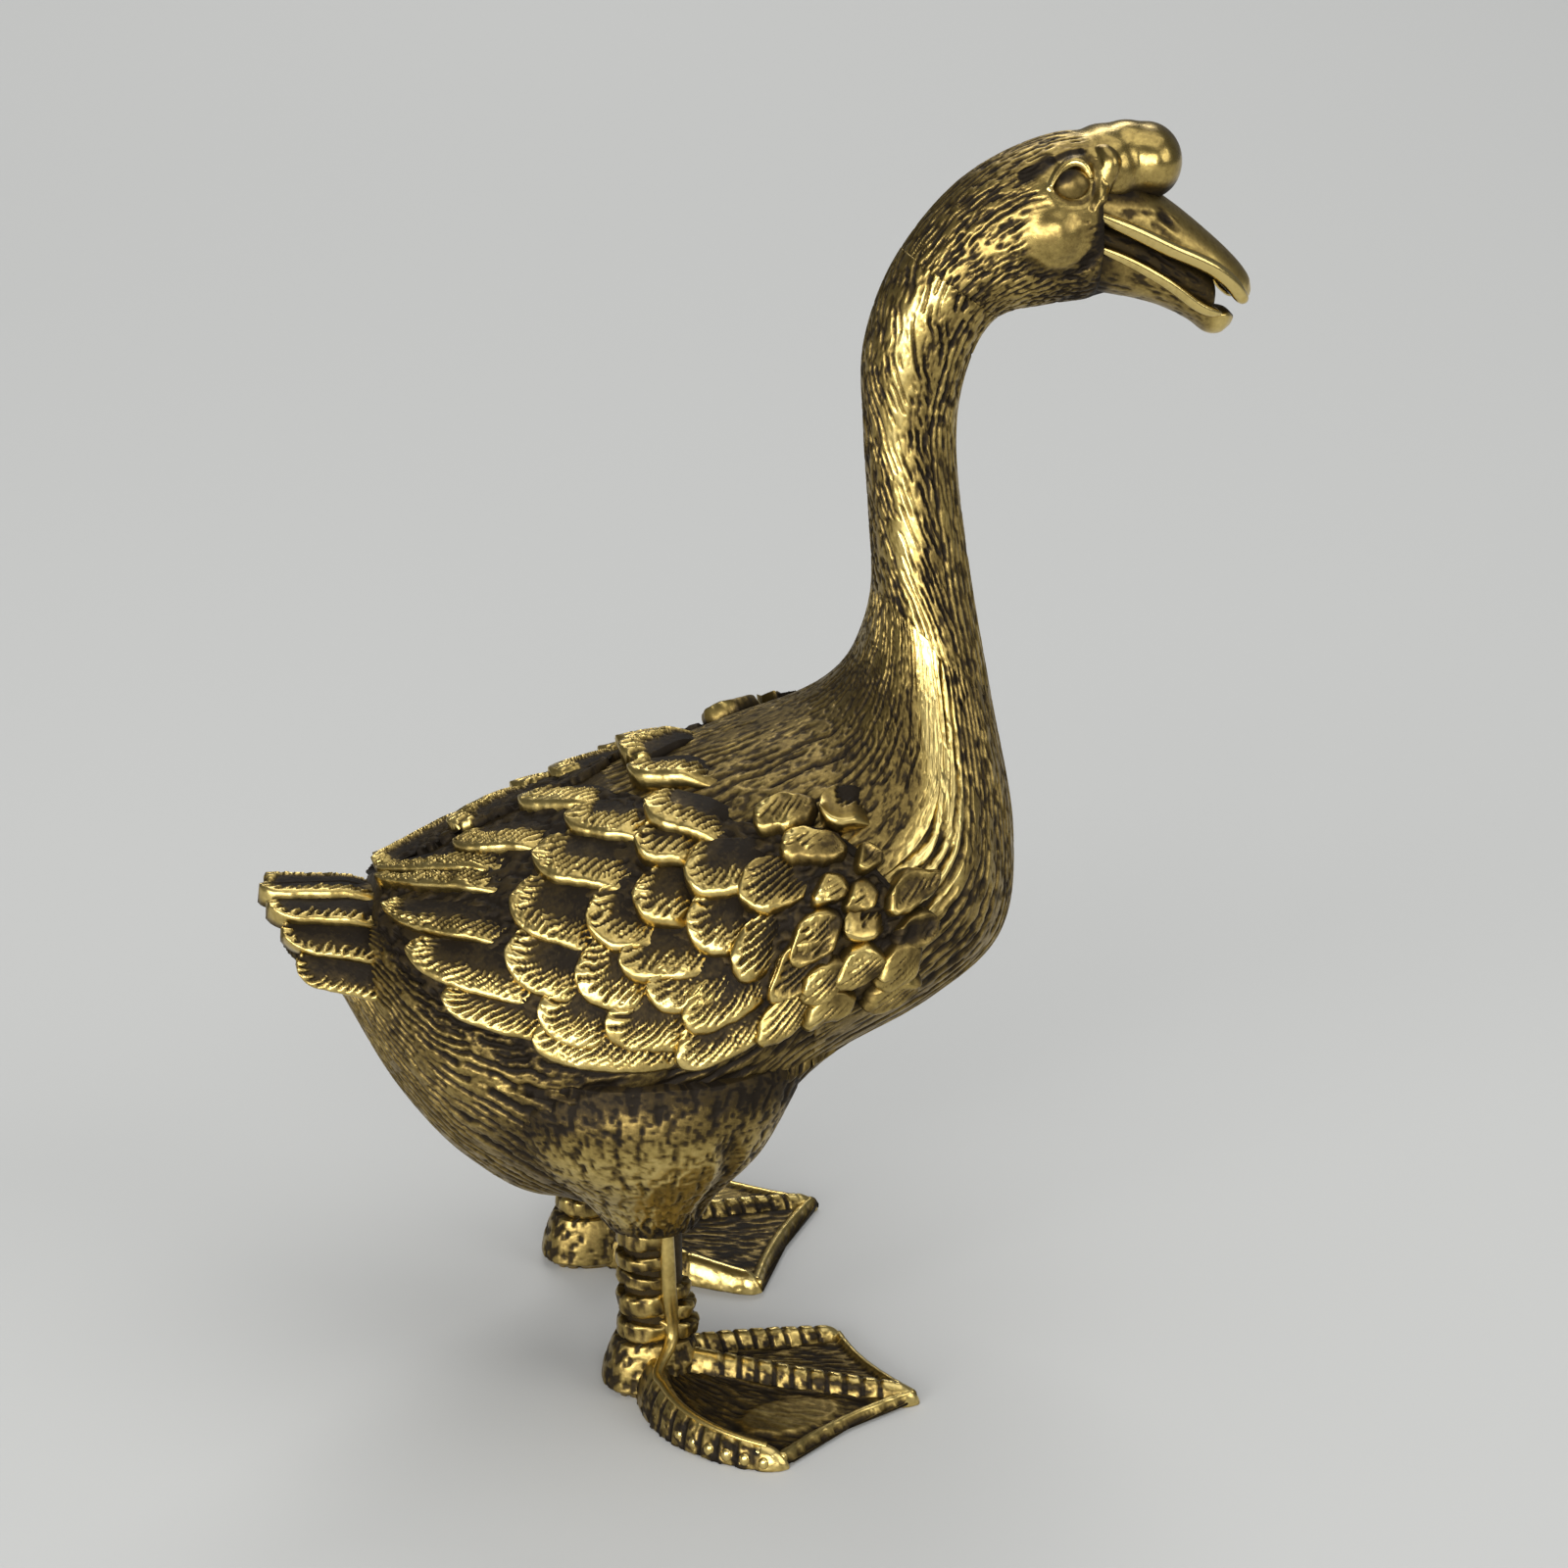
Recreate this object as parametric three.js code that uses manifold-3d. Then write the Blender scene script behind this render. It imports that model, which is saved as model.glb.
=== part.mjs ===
// Brass goose statue: a small standing goose, cast in pieces, brazed and darkened with patina.
// Millimetres, +Z up. The goose faces +X and its left side is +Y. The soles stand on Z = 0.
import * as THREE from "three";
import { mergeVertices } from "three/addons/utils/BufferGeometryUtils.js";
import Module from "manifold-3d";

const wasm = await Module();
wasm.setup();

// Main sizes: the body from the tail root to the crop, and the neck from its base to the nape.
const BODY_LENGTH = 27.4;
const NECK_HEIGHT = 17;

// Body and neck as sections along a centre line, from the tail to the face. Each section lies ahead of and
// above the one before it. Depth runs from the back outline to the breast and belly outline, lean is in
// degrees forward, and half is half the width. Shares space the sections along the body and up the neck.
const BODY = {
  tailRoot: { ahead: 0, up: 0, depth: 5.55, lean: 21, half: 3.8 },
  rump: { ahead: 0.089 * BODY_LENGTH, up: -1.85, depth: 11.05, lean: 10, half: 7.2 },
  loin: { ahead: 0.119 * BODY_LENGTH, up: -1.15, depth: 16.35, lean: 7.5, half: 9.6 },
  belly: { ahead: 0.153 * BODY_LENGTH, up: -0.3, depth: 20.15, lean: 7.5, half: 11.2 },
  middle: { ahead: 0.193 * BODY_LENGTH, up: 1.3, depth: 20.2, lean: 2.5, half: 11.8 },
  ribs: { ahead: 0.183 * BODY_LENGTH, up: 3.1, depth: 16.3, lean: -7, half: 11.8 },
  breast: { ahead: 0.161 * BODY_LENGTH, up: 1.95, depth: 15.2, lean: -20, half: 10.8 },
  crop: { ahead: 0.102 * BODY_LENGTH, up: 2.15, depth: 14.6, lean: -30.5, half: 9 },
  throat: { ahead: 0.85, up: 3.4, depth: 11.9, lean: -38, half: 6.4 },
  neckBase: { ahead: -0.3, up: 4.7, depth: 7.7, lean: -47.5, half: 4.2 },
  neckLow: { ahead: -0.65, up: 0.289 * NECK_HEIGHT, depth: 5.45, lean: -61.5, half: 3 },
  neckMiddle: { ahead: -0.5, up: 0.289 * NECK_HEIGHT, depth: 4.45, lean: -79.5, half: 2.4 },
  neckHigh: { ahead: 0.2, up: 0.23 * NECK_HEIGHT, depth: 5, lean: -73.5, half: 2.6 },
  nape: { ahead: 1.45, up: 0.192 * NECK_HEIGHT, depth: 5.45, lean: -55.5, half: 3 },
  crown: { ahead: 2.8, up: 2.1, depth: 7.1, lean: -29.5, half: 3.4 },
  face: { ahead: 3.15, up: 1, depth: 7.85, lean: -6, half: 3.5 },
  billRoot: { ahead: 2.25, up: -0.35, depth: 6.55, lean: 6, half: 2.7 },
};
const rungOf = (name) => Object.keys(BODY).indexOf(name);
// The castings are parted at these sections.
const NECK_SEAM = rungOf("neckBase");
const HEAD_SEAM = rungOf("nape");

// Fits between the castings.
const SEAM = 0.25;
const PIN_CLEARANCE = 0.1;
const HOLE_END = 0.2;

// Dowels: radius and whole length.
const NECK_DOWEL = { radius: 1.3, length: 8 };
const HEAD_DOWEL = { radius: 0.9, length: 5.6 };
const FOOT_PIN = { radius: 0.55, length: 3.6 };
const TAIL_TENON = { radius: 1.1, length: 3.5 };
const WING_PEG = { radius: 0.6, length: 1.6 };
const BILL_TENON = { radius: 0.7, length: 2 };

// Head: the lobes of the forehead knob are placed from the top of the bill root, the cheeks from the middle
// of the face section. The eye beads sit on pins at a [rung number, degrees round from the back], each in a
// raised lid.
const KNOB_FRONT = { ahead: 0.2, down: 0.7, long: 2.3, wide: 2.3, high: 2.15 };
const KNOB_BACK = { ahead: -1.7, down: 0.7, long: 2.2, wide: 2.3, high: 1.9 };
const CHEEK = { behind: 1.6, sunk: 1, long: 1.8, wide: 1.5, high: 1.55 };
const EYE = { place: [14.82, 60.8], sunk: 0.2, radius: 0.95, pinRadius: 0.4, pinLength: 1.2 };
const EYELID = { thick: 0.32, out: 0.1 };

// Bill halves and tongue, from the face to the tip, as sections like the body's. They start from the middle
// of the bill root.
const UPPER_BILL = {
  root: { ahead: -1.45, up: 1.35, depth: 2.65, lean: 8.5, half: 2.5 },
  bridge: { ahead: 3.1, up: -1.15, depth: 2.5, lean: 23.5, half: 2.2 },
  blade: { ahead: 2.5, up: -1.55, depth: 1.95, lean: 24, half: 1.8 },
  hook: { ahead: 1.6, up: -1.15, depth: 1.45, lean: 25, half: 1.2 },
  tip: { ahead: 0.6, up: -0.75, depth: 0.9, lean: 26.5, half: 0.6 },
};
const LOWER_BILL = {
  root: { ahead: -1.45, up: -2.1, depth: 2.55, lean: -9, half: 2.3 },
  jaw: { ahead: 2.5, up: -0.55, depth: 1.8, lean: -6.5, half: 2 },
  blade: { ahead: 2.2, up: -1.25, depth: 1.5, lean: -7.5, half: 1.6 },
  lip: { ahead: 1.5, up: -0.85, depth: 1.4, lean: 8, half: 1.15 },
  tip: { ahead: 0.7, up: 0, depth: 0.65, lean: 18.5, half: 0.6 },
};
const TONGUE = {
  root: { ahead: -1.45, up: -1, depth: 2.4, lean: -12.5, half: 1.5 },
  middle: { ahead: 2.5, up: -0.7, depth: 1.8, lean: 0, half: 1.4 },
  blade: { ahead: 2.3, up: -1.2, depth: 1.9, lean: 0, half: 1.1 },
  tip: { ahead: 0.9, up: -0.55, depth: 1.6, lean: 10.5, half: 0.8 },
};
// Share of a bill half's depth that lies below its widest line.
const UPPER_LOW_SHARE = 0.15;
const LOWER_LOW_SHARE = 0.8;

// Wings: places are [rung number, degrees round from the back]. The plate lies under the feathers. Each
// feather is laid from its tip forward, its slant is in degrees toward the belly, and those listed later
// overlap the ones before them. Lift is the step at a feather's tip, root the share of it that is left at
// the root: the small coverts at the shoulder stand free all round.
const WING_PLATE = 0.4;
const FLANK_DEGREE = 0.17;
const PLATE_UPPER = [[6.1, 85], [5.6, 54], [4.7, 40], [3.7, 22], [3.0, 6], [2.0, 4], [1.0, 4], [0.3, 6]];
const PLATE_LOWER = [[6.1, 85], [5.7, 104], [5.0, 106], [4.2, 97], [3.2, 88], [2.2, 81], [1.2, 72], [0.3, 50]];
const FLIGHT_LIFT = 0.55;
const FLIGHT_FEATHERS = [
  { tip: [0.15, 1], length: 10.3, width: 2.6, slant: 26 },
  { tip: [0.1, 12], length: 10, width: 2.7, slant: 22 },
  { tip: [1.5, 7], length: 6.2, width: 2.5, slant: 26 },
  { tip: [0.3, 38], length: 8.6, width: 3.1, slant: 12 },
  { tip: [0.8, 57], length: 7.9, width: 3.4, slant: 10 },
  { tip: [1.35, 71], length: 6, width: 2.7, slant: 7 },
  { tip: [2.75, 16], length: 5.5, width: 2.6, slant: 24 },
  { tip: [2.4, 26], length: 6, width: 3.2, slant: 24 },
  { tip: [2.15, 39], length: 5.3, width: 4, slant: 24 },
  { tip: [2.1, 54], length: 5.1, width: 3.9, slant: 22 },
  { tip: [2.45, 70], length: 4.7, width: 3.1, slant: 18 },
  { tip: [2.4, 78], length: 8.6, width: 2.1, slant: 14 },
  { tip: [3.1, 74], length: 5.5, width: 2.9, slant: 18 },
  { tip: [2.8, 61], length: 4.7, width: 3.5, slant: 18 },
];
const COVERT_LIFT = 0.8;
const COVERTS = [
  { tip: [2.9, 48], length: 4.6, width: 3.5, slant: 14 },
  { tip: [3.4, 32], length: 3.9, width: 2.6, slant: 17 },
  { tip: [3.55, 22], length: 5.3, width: 2.6, slant: 30 },
  { tip: [3.45, 5], length: 5.1, width: 2.3, slant: 20 },
  { tip: [3.35, 46], length: 3.6, width: 2.9, slant: 20 },
  { tip: [3.2, 60], length: 5.5, width: 2.6, slant: 13 },
  { tip: [3.45, 68], length: 5.5, width: 2.7, slant: 16 },
  { tip: [3.75, 77], length: 4.6, width: 2.9, slant: 8 },
  { tip: [3.7, 86], length: 5.4, width: 2.3, slant: 12 },
  { tip: [3.85, 44], length: 5.3, width: 3, slant: 17 },
  { tip: [3.85, 55], length: 3.9, width: 3.4, slant: 26 },
  { tip: [4.4, 53], length: 3.6, width: 2.5, slant: 30, root: 0.7 },
  { tip: [4.25, 68], length: 3, width: 3.1, slant: 28 },
  { tip: [4.6, 79], length: 2.8, width: 2.7, slant: 35, root: 0.7 },
  { tip: [4.65, 38], length: 3.6, width: 2, slant: 14, root: 0.7 },
  { tip: [4.9, 48], length: 3.6, width: 2, slant: 34, root: 0.7 },
  { tip: [4.8, 74], length: 2.4, width: 2.7, slant: 30, root: 0.7 },
  { tip: [4.8, 88], length: 2.3, width: 2.1, slant: 25, root: 0.7 },
  { tip: [4.8, 97], length: 2.4, width: 1.9, slant: 25, root: 0.7 },
  { tip: [5.15, 89], length: 2.3, width: 2.5, slant: 34, root: 0.7 },
  { tip: [5.3, 79], length: 2.8, width: 2.3, slant: 18 },
  { tip: [5.45, 44], length: 3.6, width: 2.4, slant: 22 },
  { tip: [5.5, 97], length: 2, width: 2.6, slant: 25, root: 0.7 },
  { tip: [5.35, 106], length: 2.4, width: 2, slant: 25, root: 0.7 },
  { tip: [5.8, 78], length: 2.9, width: 2.1, slant: 22, root: 0.7 },
  { tip: [5.75, 90], length: 2.2, width: 2, slant: 28, root: 0.7 },
];
const WING_PEGS = [[4.4, 68], [2.2, 40]];

// Tail fan: placed from the top of the tail root. Arch is how far its sides droop below the middle, notch how
// far the ends of its feathers are parted.
const TAIL = {
  ahead: 1.2, up: 0, tilt: 1, length: 7.3, rootHalf: 5.0, tipHalf: 4.3, rootThick: 3.2, tipThick: 1.9,
  rootArch: 2.9, tipArch: 1.7, feathers: 6, ridge: 0.4, notch: 0.7,
};

// Legs: the knee lies behind, out from and below the middle of the body's middle section. Shank and
// footHeight are heights, long and wide are the shank's half sizes fore and aft and across.
const LEG = {
  behind: 2.7, out: 7, drop: 10.9, stride: 0.7, shank: 6.1, footHeight: 2.6, long: 1.9, wide: 1.5,
};
const SHANK_RINGS = { count: 5, height: 0.28 };
const SPIGOT = { radius: 0.95, length: 3 };
// Thigh sections: height above the knee, centre offset from the shank fore and out, half length, half width.
const THIGH = {
  knee: { up: 0, fore: 0, out: 0, long: 2.2, wide: 2.0 },
  cuff: { up: 1.8, fore: 0, out: 0.3, long: 3.2, wide: 2.8 },
  calf: { up: 4.2, fore: -0.1, out: 1.0, long: 5.2, wide: 3.8 },
  flank: { up: 6.8, fore: -0.1, out: 1.4, long: 6.2, wide: 4.2 },
  hip: { up: 9, fore: 0.3, out: 0.6, long: 6.4, wide: 4.1 },
};

// Feet: web thickness, toes and nails, and for each foot the toe headings (degrees out from straight ahead).
const WEB = { thick: 0.9, notchShare: 0.91 };
const TOE = { rootHalf: 0.95, tipHalf: 0.6, rootHigh: 2.3, tipHigh: 1.0 };
const NAIL = { long: 0.9, wide: 0.42, high: 0.75 };
const OUTER_TOE = { length: 10.6, bend: 2.2 };
const MIDDLE_TOE = { length: 13, bend: 0.3 };
const INNER_TOE = { length: 10, bend: -0.3 };
const TOE_BANDS = { count: 6, height: 0.16 };
const RIGHT_TOE_ANGLES = { outer: 62, middle: 20, inner: -12 };
const LEFT_TOE_ANGLES = { outer: 54, middle: 14, inner: -36 };
const HEEL = { back: 2.6, front: 2.4, wide: 2.0 };

const PATINA = { colour: 0x8a6a2c, roughness: 0.38, metalness: 1 };
const POLISHED = { colour: 0xc9a24a, roughness: 0.28, metalness: 1 };

// Sections and skins

// Outline curves through the sections, from a start point (x, z). Their y is the half width.
function lines(rungs, start) {
  const centre = start.clone();
  const [back, front] = [[], []];
  for (const rung of Object.values(rungs)) {
    centre.add(new THREE.Vector2(rung.ahead, rung.up));
    const lean = THREE.MathUtils.degToRad(rung.lean);
    const reach = new THREE.Vector2(Math.sin(lean), Math.cos(lean)).multiplyScalar(rung.depth / 2);
    back.push(new THREE.Vector3(centre.x + reach.x, rung.half, centre.y + reach.y));
    front.push(new THREE.Vector3(centre.x - reach.x, rung.half, centre.y - reach.y));
  }
  const curve = (points) => new THREE.CatmullRomCurve3(points, false, "catmullrom", 0.5);
  return { back: curve(back), front: curve(front), last: back.length - 1 };
}

function middleOf(shape, rung) {
  return shape.back.getPoint(rung / shape.last).lerp(shape.front.getPoint(rung / shape.last), 0.5).setY(0);
}

// Point of a section: round is measured from the back, low is the share of the height below the widest line.
function sectionPoint(shape, rung, round, low = 0.5) {
  const back = shape.back.getPoint(rung / shape.last);
  const front = shape.front.getPoint(rung / shape.last);
  const c = Math.cos(round);
  const share = low + c * (c > 0 ? 1 - low : low);
  const x = front.x + (back.x - front.x) * share;
  const z = front.z + (back.z - front.z) * share;
  return new THREE.Vector3(x, back.y * Math.sin(round), z);
}

function sectionNormal(shape, rung, round) {
  const step = 0.01;
  const low = Math.max(0, rung - step);
  const high = Math.min(shape.last, rung + step);
  const along = sectionPoint(shape, high, round).sub(sectionPoint(shape, low, round));
  const around = sectionPoint(shape, rung, round + step).sub(sectionPoint(shape, rung, round - step));
  const normal = along.cross(around).normalize();
  const outward = sectionPoint(shape, rung, round).sub(sectionPoint(shape, rung, round + Math.PI));
  return normal.dot(outward) < 0 ? normal.negate() : normal;
}

function geometry(points, faces) {
  const shape = new THREE.BufferGeometry();
  shape.setAttribute("position", new THREE.Float32BufferAttribute(points.flatMap((p) => [p.x, p.y, p.z]), 3));
  let volume = 0;
  for (const [a, b, c] of faces) volume += points[a].dot(points[b].clone().cross(points[c]));
  const turned = volume < 0 ? faces.map(([a, b, c]) => [a, c, b]) : faces;
  shape.setIndex(turned.flat());
  return shape;
}

// Closed skin over rings of equal count, with a fan at each end.
function skin(rings) {
  const count = rings[0].length;
  const points = rings.flat();
  const faces = [];
  for (let i = 0; i + 1 < rings.length; i += 1) {
    for (let j = 0; j < count; j += 1) {
      const a = i * count + j;
      const b = i * count + (j + 1) % count;
      faces.push([a, b, b + count], [a, b + count, a + count]);
    }
  }
  for (const end of [0, rings.length - 1]) {
    const middle = rings[end].reduce((sum, p) => sum.add(p), new THREE.Vector3()).divideScalar(count);
    points.push(middle);
    for (let j = 0; j < count; j += 1) {
      const a = end * count + j;
      const b = end * count + (j + 1) % count;
      faces.push(end === 0 ? [points.length - 1, b, a] : [points.length - 1, a, b]);
    }
  }
  return geometry(points, faces);
}

function ring(sides, at) {
  return Array.from({ length: sides }, (_, j) => at(2 * Math.PI * j / sides));
}

function steps(from, to, count) {
  return Array.from({ length: count + 1 }, (_, i) => from + (to - from) * i / count);
}

function loft(shape, from, to, count, sides, low = 0.5) {
  const section = (rung) => ring(sides, (round) => sectionPoint(shape, rung, round, low));
  return skin(steps(from, to, count).map(section));
}

// Joining and cutting

function solid(shape) {
  const plain = shape.clone();
  plain.deleteAttribute("normal");
  plain.deleteAttribute("uv");
  const merged = mergeVertices(plain, 1e-4);
  return new wasm.Manifold(new wasm.Mesh({
    numProp: 3,
    vertProperties: new Float32Array(merged.attributes.position.array),
    triVerts: new Uint32Array(merged.index.array),
  }));
}

function plain(body) {
  const mesh = body.getMesh();
  const shape = new THREE.BufferGeometry();
  const positions = new Float32Array(mesh.numVert * 3);
  for (let v = 0; v < mesh.numVert; v += 1) {
    for (let k = 0; k < 3; k += 1) positions[3 * v + k] = mesh.vertProperties[v * mesh.numProp + k];
  }
  shape.setAttribute("position", new THREE.BufferAttribute(positions, 3));
  shape.setIndex(new THREE.BufferAttribute(new Uint32Array(mesh.triVerts), 1));
  return shape;
}

function rod(radius, from, to, sides = 12) {
  const axis = to.clone().sub(from);
  const shape = new THREE.CylinderGeometry(radius, radius, axis.length(), sides);
  const upright = new THREE.Vector3(0, 1, 0);
  const turn = new THREE.Quaternion().setFromUnitVectors(upright, axis.clone().normalize());
  shape.applyQuaternion(turn);
  const middle = from.clone().add(to).multiplyScalar(0.5);
  return solid(shape.translate(middle.x, middle.y, middle.z));
}

function ball(x, y, z, long, wide, high, across = 12, down = 8) {
  const shape = new THREE.SphereGeometry(1, across, down);
  return solid(shape.scale(long, high, wide).rotateX(Math.PI / 2).translate(x, y, z));
}

function mirrored(shape) {
  const copy = shape.clone().scale(1, -1, 1);
  const index = Array.from(copy.index.array);
  for (let i = 0; i < index.length; i += 3) [index[i + 1], index[i + 2]] = [index[i + 2], index[i + 1]];
  copy.setIndex(index);
  return copy;
}

// Body castings: torso with thighs, neck and head are parted from one outline

const body = lines(BODY, new THREE.Vector2());

function seam(rung) {
  const step = 0.02;
  const along = middleOf(body, rung + step).sub(middleOf(body, rung - step));
  const gap = 2 * step * SEAM / along.length();
  return { middle: middleOf(body, rung), along: along.normalize(), gap };
}

function onAxis(joint, distance) {
  return joint.middle.clone().addScaledVector(joint.along, distance);
}

const neckJoint = seam(NECK_SEAM);
const headJoint = seam(HEAD_SEAM);

function dowel(size, joint) {
  return rod(size.radius, onAxis(joint, -size.length / 2), onAxis(joint, size.length / 2));
}

function dowelHole(size, joint) {
  const half = size.length / 2 + HOLE_END;
  return rod(size.radius + PIN_CLEARANCE, onAxis(joint, -half), onAxis(joint, half));
}

const hip = middleOf(body, rungOf("middle"));
const kneeHeight = hip.z - LEG.drop;
const ankleHeight = kneeHeight - LEG.shank;
const soleHeight = ankleHeight - LEG.footHeight;

function legPlace(side) {
  return { x: hip.x - LEG.behind - side * LEG.stride, y: side * LEG.out };
}

function thigh(side) {
  const place = legPlace(side);
  const through = (points) => new THREE.CatmullRomCurve3(points, false, "catmullrom");
  const curve = through(Object.values(THIGH).map((t) => new THREE.Vector3(t.fore, t.out, t.up)));
  const spread = through(Object.values(THIGH).map((t) => new THREE.Vector3(t.long, t.wide, 0)));
  return solid(skin(steps(0, 1, 8).map((t) => {
    const c = curve.getPoint(t);
    const s = spread.getPoint(t);
    return ring(16, (round) => new THREE.Vector3(place.x + c.x + s.x * Math.cos(round),
      place.y + side * c.y + s.y * Math.sin(round), kneeHeight + c.z));
  })));
}

function shankAxis(side, z) {
  const place = legPlace(side);
  return new THREE.Vector3(place.x, place.y, z);
}

function wingPeg(place, clearance) {
  const round = -place[1] * Math.PI / 180;
  const point = sectionPoint(body, place[0], round);
  const normal = sectionNormal(body, place[0], round);
  const end = clearance > 0 ? HOLE_END : 0;
  return rod(WING_PEG.radius + clearance, point.clone().addScaledVector(normal, SEAM + WING_PLATE / 2 + end),
    point.clone().addScaledVector(normal, -WING_PEG.length - end), 12);
}

function tailFrame() {
  const tilt = TAIL.tilt * Math.PI / 180;
  const along = new THREE.Vector3(-Math.cos(tilt), 0, Math.sin(tilt));
  const up = new THREE.Vector3(Math.sin(tilt), 0, Math.cos(tilt));
  const root = body.back.getPoint(0);
  return { start: new THREE.Vector3(root.x + TAIL.ahead, 0, root.z + TAIL.up), along, up };
}

function tailTenon(clearance) {
  const tail = tailFrame();
  const end = clearance > 0 ? HOLE_END : 0;
  const low = tail.start.clone().addScaledVector(tail.up, -0.55 * TAIL.rootThick);
  return rod(TAIL_TENON.radius + clearance, low.clone().addScaledVector(tail.along, TAIL_TENON.length),
    low.clone().addScaledVector(tail.along, -end));
}

function buildTorso() {
  let torso = solid(loft(body, 0, NECK_SEAM, 20, 20));
  for (const side of [-1, 1]) {
    torso = torso.add(thigh(side));
    torso = torso.subtract(rod(SPIGOT.radius + PIN_CLEARANCE, shankAxis(side, kneeHeight - SPIGOT.radius),
      shankAxis(side, kneeHeight + SPIGOT.length + HOLE_END)));
  }
  for (const place of WING_PEGS) {
    const hole = wingPeg(place, PIN_CLEARANCE);
    torso = torso.subtract(hole).subtract(hole.mirror([0, 1, 0]));
  }
  return torso.subtract(dowelHole(NECK_DOWEL, neckJoint)).subtract(tailTenon(PIN_CLEARANCE));
}

function buildNeck() {
  const neck = solid(loft(body, NECK_SEAM + neckJoint.gap, HEAD_SEAM, 12, 16));
  return neck.subtract(dowelHole(NECK_DOWEL, neckJoint)).subtract(dowelHole(HEAD_DOWEL, headJoint));
}

// Skull with knob, cheeks and lids. The bill is cut to the same skull, swollen by the seam.
function skull(swell) {
  const shape = skin(steps(HEAD_SEAM + headJoint.gap, body.last, 8).map((rung) => ring(16, (round) =>
    sectionPoint(body, rung, round).addScaledVector(sectionNormal(body, rung, round), swell))));
  let head = solid(shape);
  const top = body.back.getPoint(1);
  for (const lobe of [KNOB_FRONT, KNOB_BACK]) {
    const [x, z] = [top.x + lobe.ahead, top.z - lobe.down];
    head = head.add(ball(x, 0, z, lobe.long + swell, lobe.wide + swell, lobe.high + swell));
  }
  const face = middleOf(body, rungOf("face"));
  for (const side of [-1, 1]) {
    head = head.add(ball(face.x - CHEEK.behind, side * (BODY.face.half - CHEEK.sunk), face.z,
      CHEEK.long, CHEEK.wide, CHEEK.high, 10, 7));
    const lid = eyeCentre(side).add(new THREE.Vector3(0, side * EYELID.out, 0));
    const bead = new THREE.TorusGeometry(EYE.radius, EYELID.thick, 5, 12).rotateX(Math.PI / 2);
    head = head.add(solid(bead.translate(lid.x, lid.y, lid.z)));
  }
  return head;
}

function eyeCentre(side) {
  const point = sectionPoint(body, EYE.place[0], side * THREE.MathUtils.degToRad(EYE.place[1]));
  return point.add(new THREE.Vector3(0, -side * EYE.sunk, 0));
}

function eye(side, clearance) {
  const middle = eyeCentre(side);
  const radius = EYE.radius + clearance;
  const reach = EYE.radius + EYE.pinLength + (clearance > 0 ? HOLE_END : 0);
  const root = middle.clone().add(new THREE.Vector3(0, -side * reach, 0));
  const bead = ball(middle.x, middle.y, middle.z, radius, radius, radius, 8, 6);
  return bead.add(rod(EYE.pinRadius + clearance, middle, root, 8));
}

// Bill: two halves let into the face on tenons, with the tongue on the lower one
const billStart = new THREE.Vector2(middleOf(body, body.last).x, middleOf(body, body.last).z);
const upperBill = lines(UPPER_BILL, billStart);
const lowerBill = lines(LOWER_BILL, billStart);
const tongue = lines(TONGUE, billStart);

function billTenon(shape, clearance) {
  const root = middleOf(shape, 0.6);
  const back = body.back.getPoint(1);
  const front = body.front.getPoint(1);
  const inward = new THREE.Vector3(front.z - back.z, 0, back.x - front.x).normalize();
  const reach = root.x - back.x + BILL_TENON.length + (clearance > 0 ? HOLE_END : 0);
  return rod(BILL_TENON.radius + clearance, root, root.clone().addScaledVector(inward, reach), 8);
}

function buildHead() {
  let head = skull(0).subtract(dowelHole(HEAD_DOWEL, headJoint));
  for (const side of [-1, 1]) head = head.subtract(eye(side, PIN_CLEARANCE));
  return head.subtract(billTenon(upperBill, PIN_CLEARANCE)).subtract(billTenon(lowerBill, PIN_CLEARANCE));
}

function buildUpperBill() {
  const bill = solid(loft(upperBill, 0, upperBill.last, 8, 14, UPPER_LOW_SHARE));
  return bill.subtract(skull(SEAM)).add(billTenon(upperBill, 0));
}

function buildLowerBill() {
  const bill = solid(loft(lowerBill, 0, lowerBill.last, 8, 14, LOWER_LOW_SHARE));
  const filled = bill.add(solid(loft(tongue, 0, tongue.last, 6, 8)));
  const swollen = lines(Object.values(UPPER_BILL).map((rung) => (
    { ...rung, depth: rung.depth + 2 * SEAM, half: rung.half + SEAM })), billStart);
  const upper = solid(loft(swollen, 0, swollen.last, 8, 14, UPPER_LOW_SHARE));
  return filled.subtract(upper).subtract(skull(SEAM)).add(billTenon(lowerBill, 0));
}

// Wing: a shell seated on the body, with feathers laid over each other toward the tail

function wingPoint(rung, degrees, height) {
  const round = -THREE.MathUtils.degToRad(degrees);
  return sectionPoint(body, rung, round).addScaledVector(sectionNormal(body, rung, round), height);
}

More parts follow.
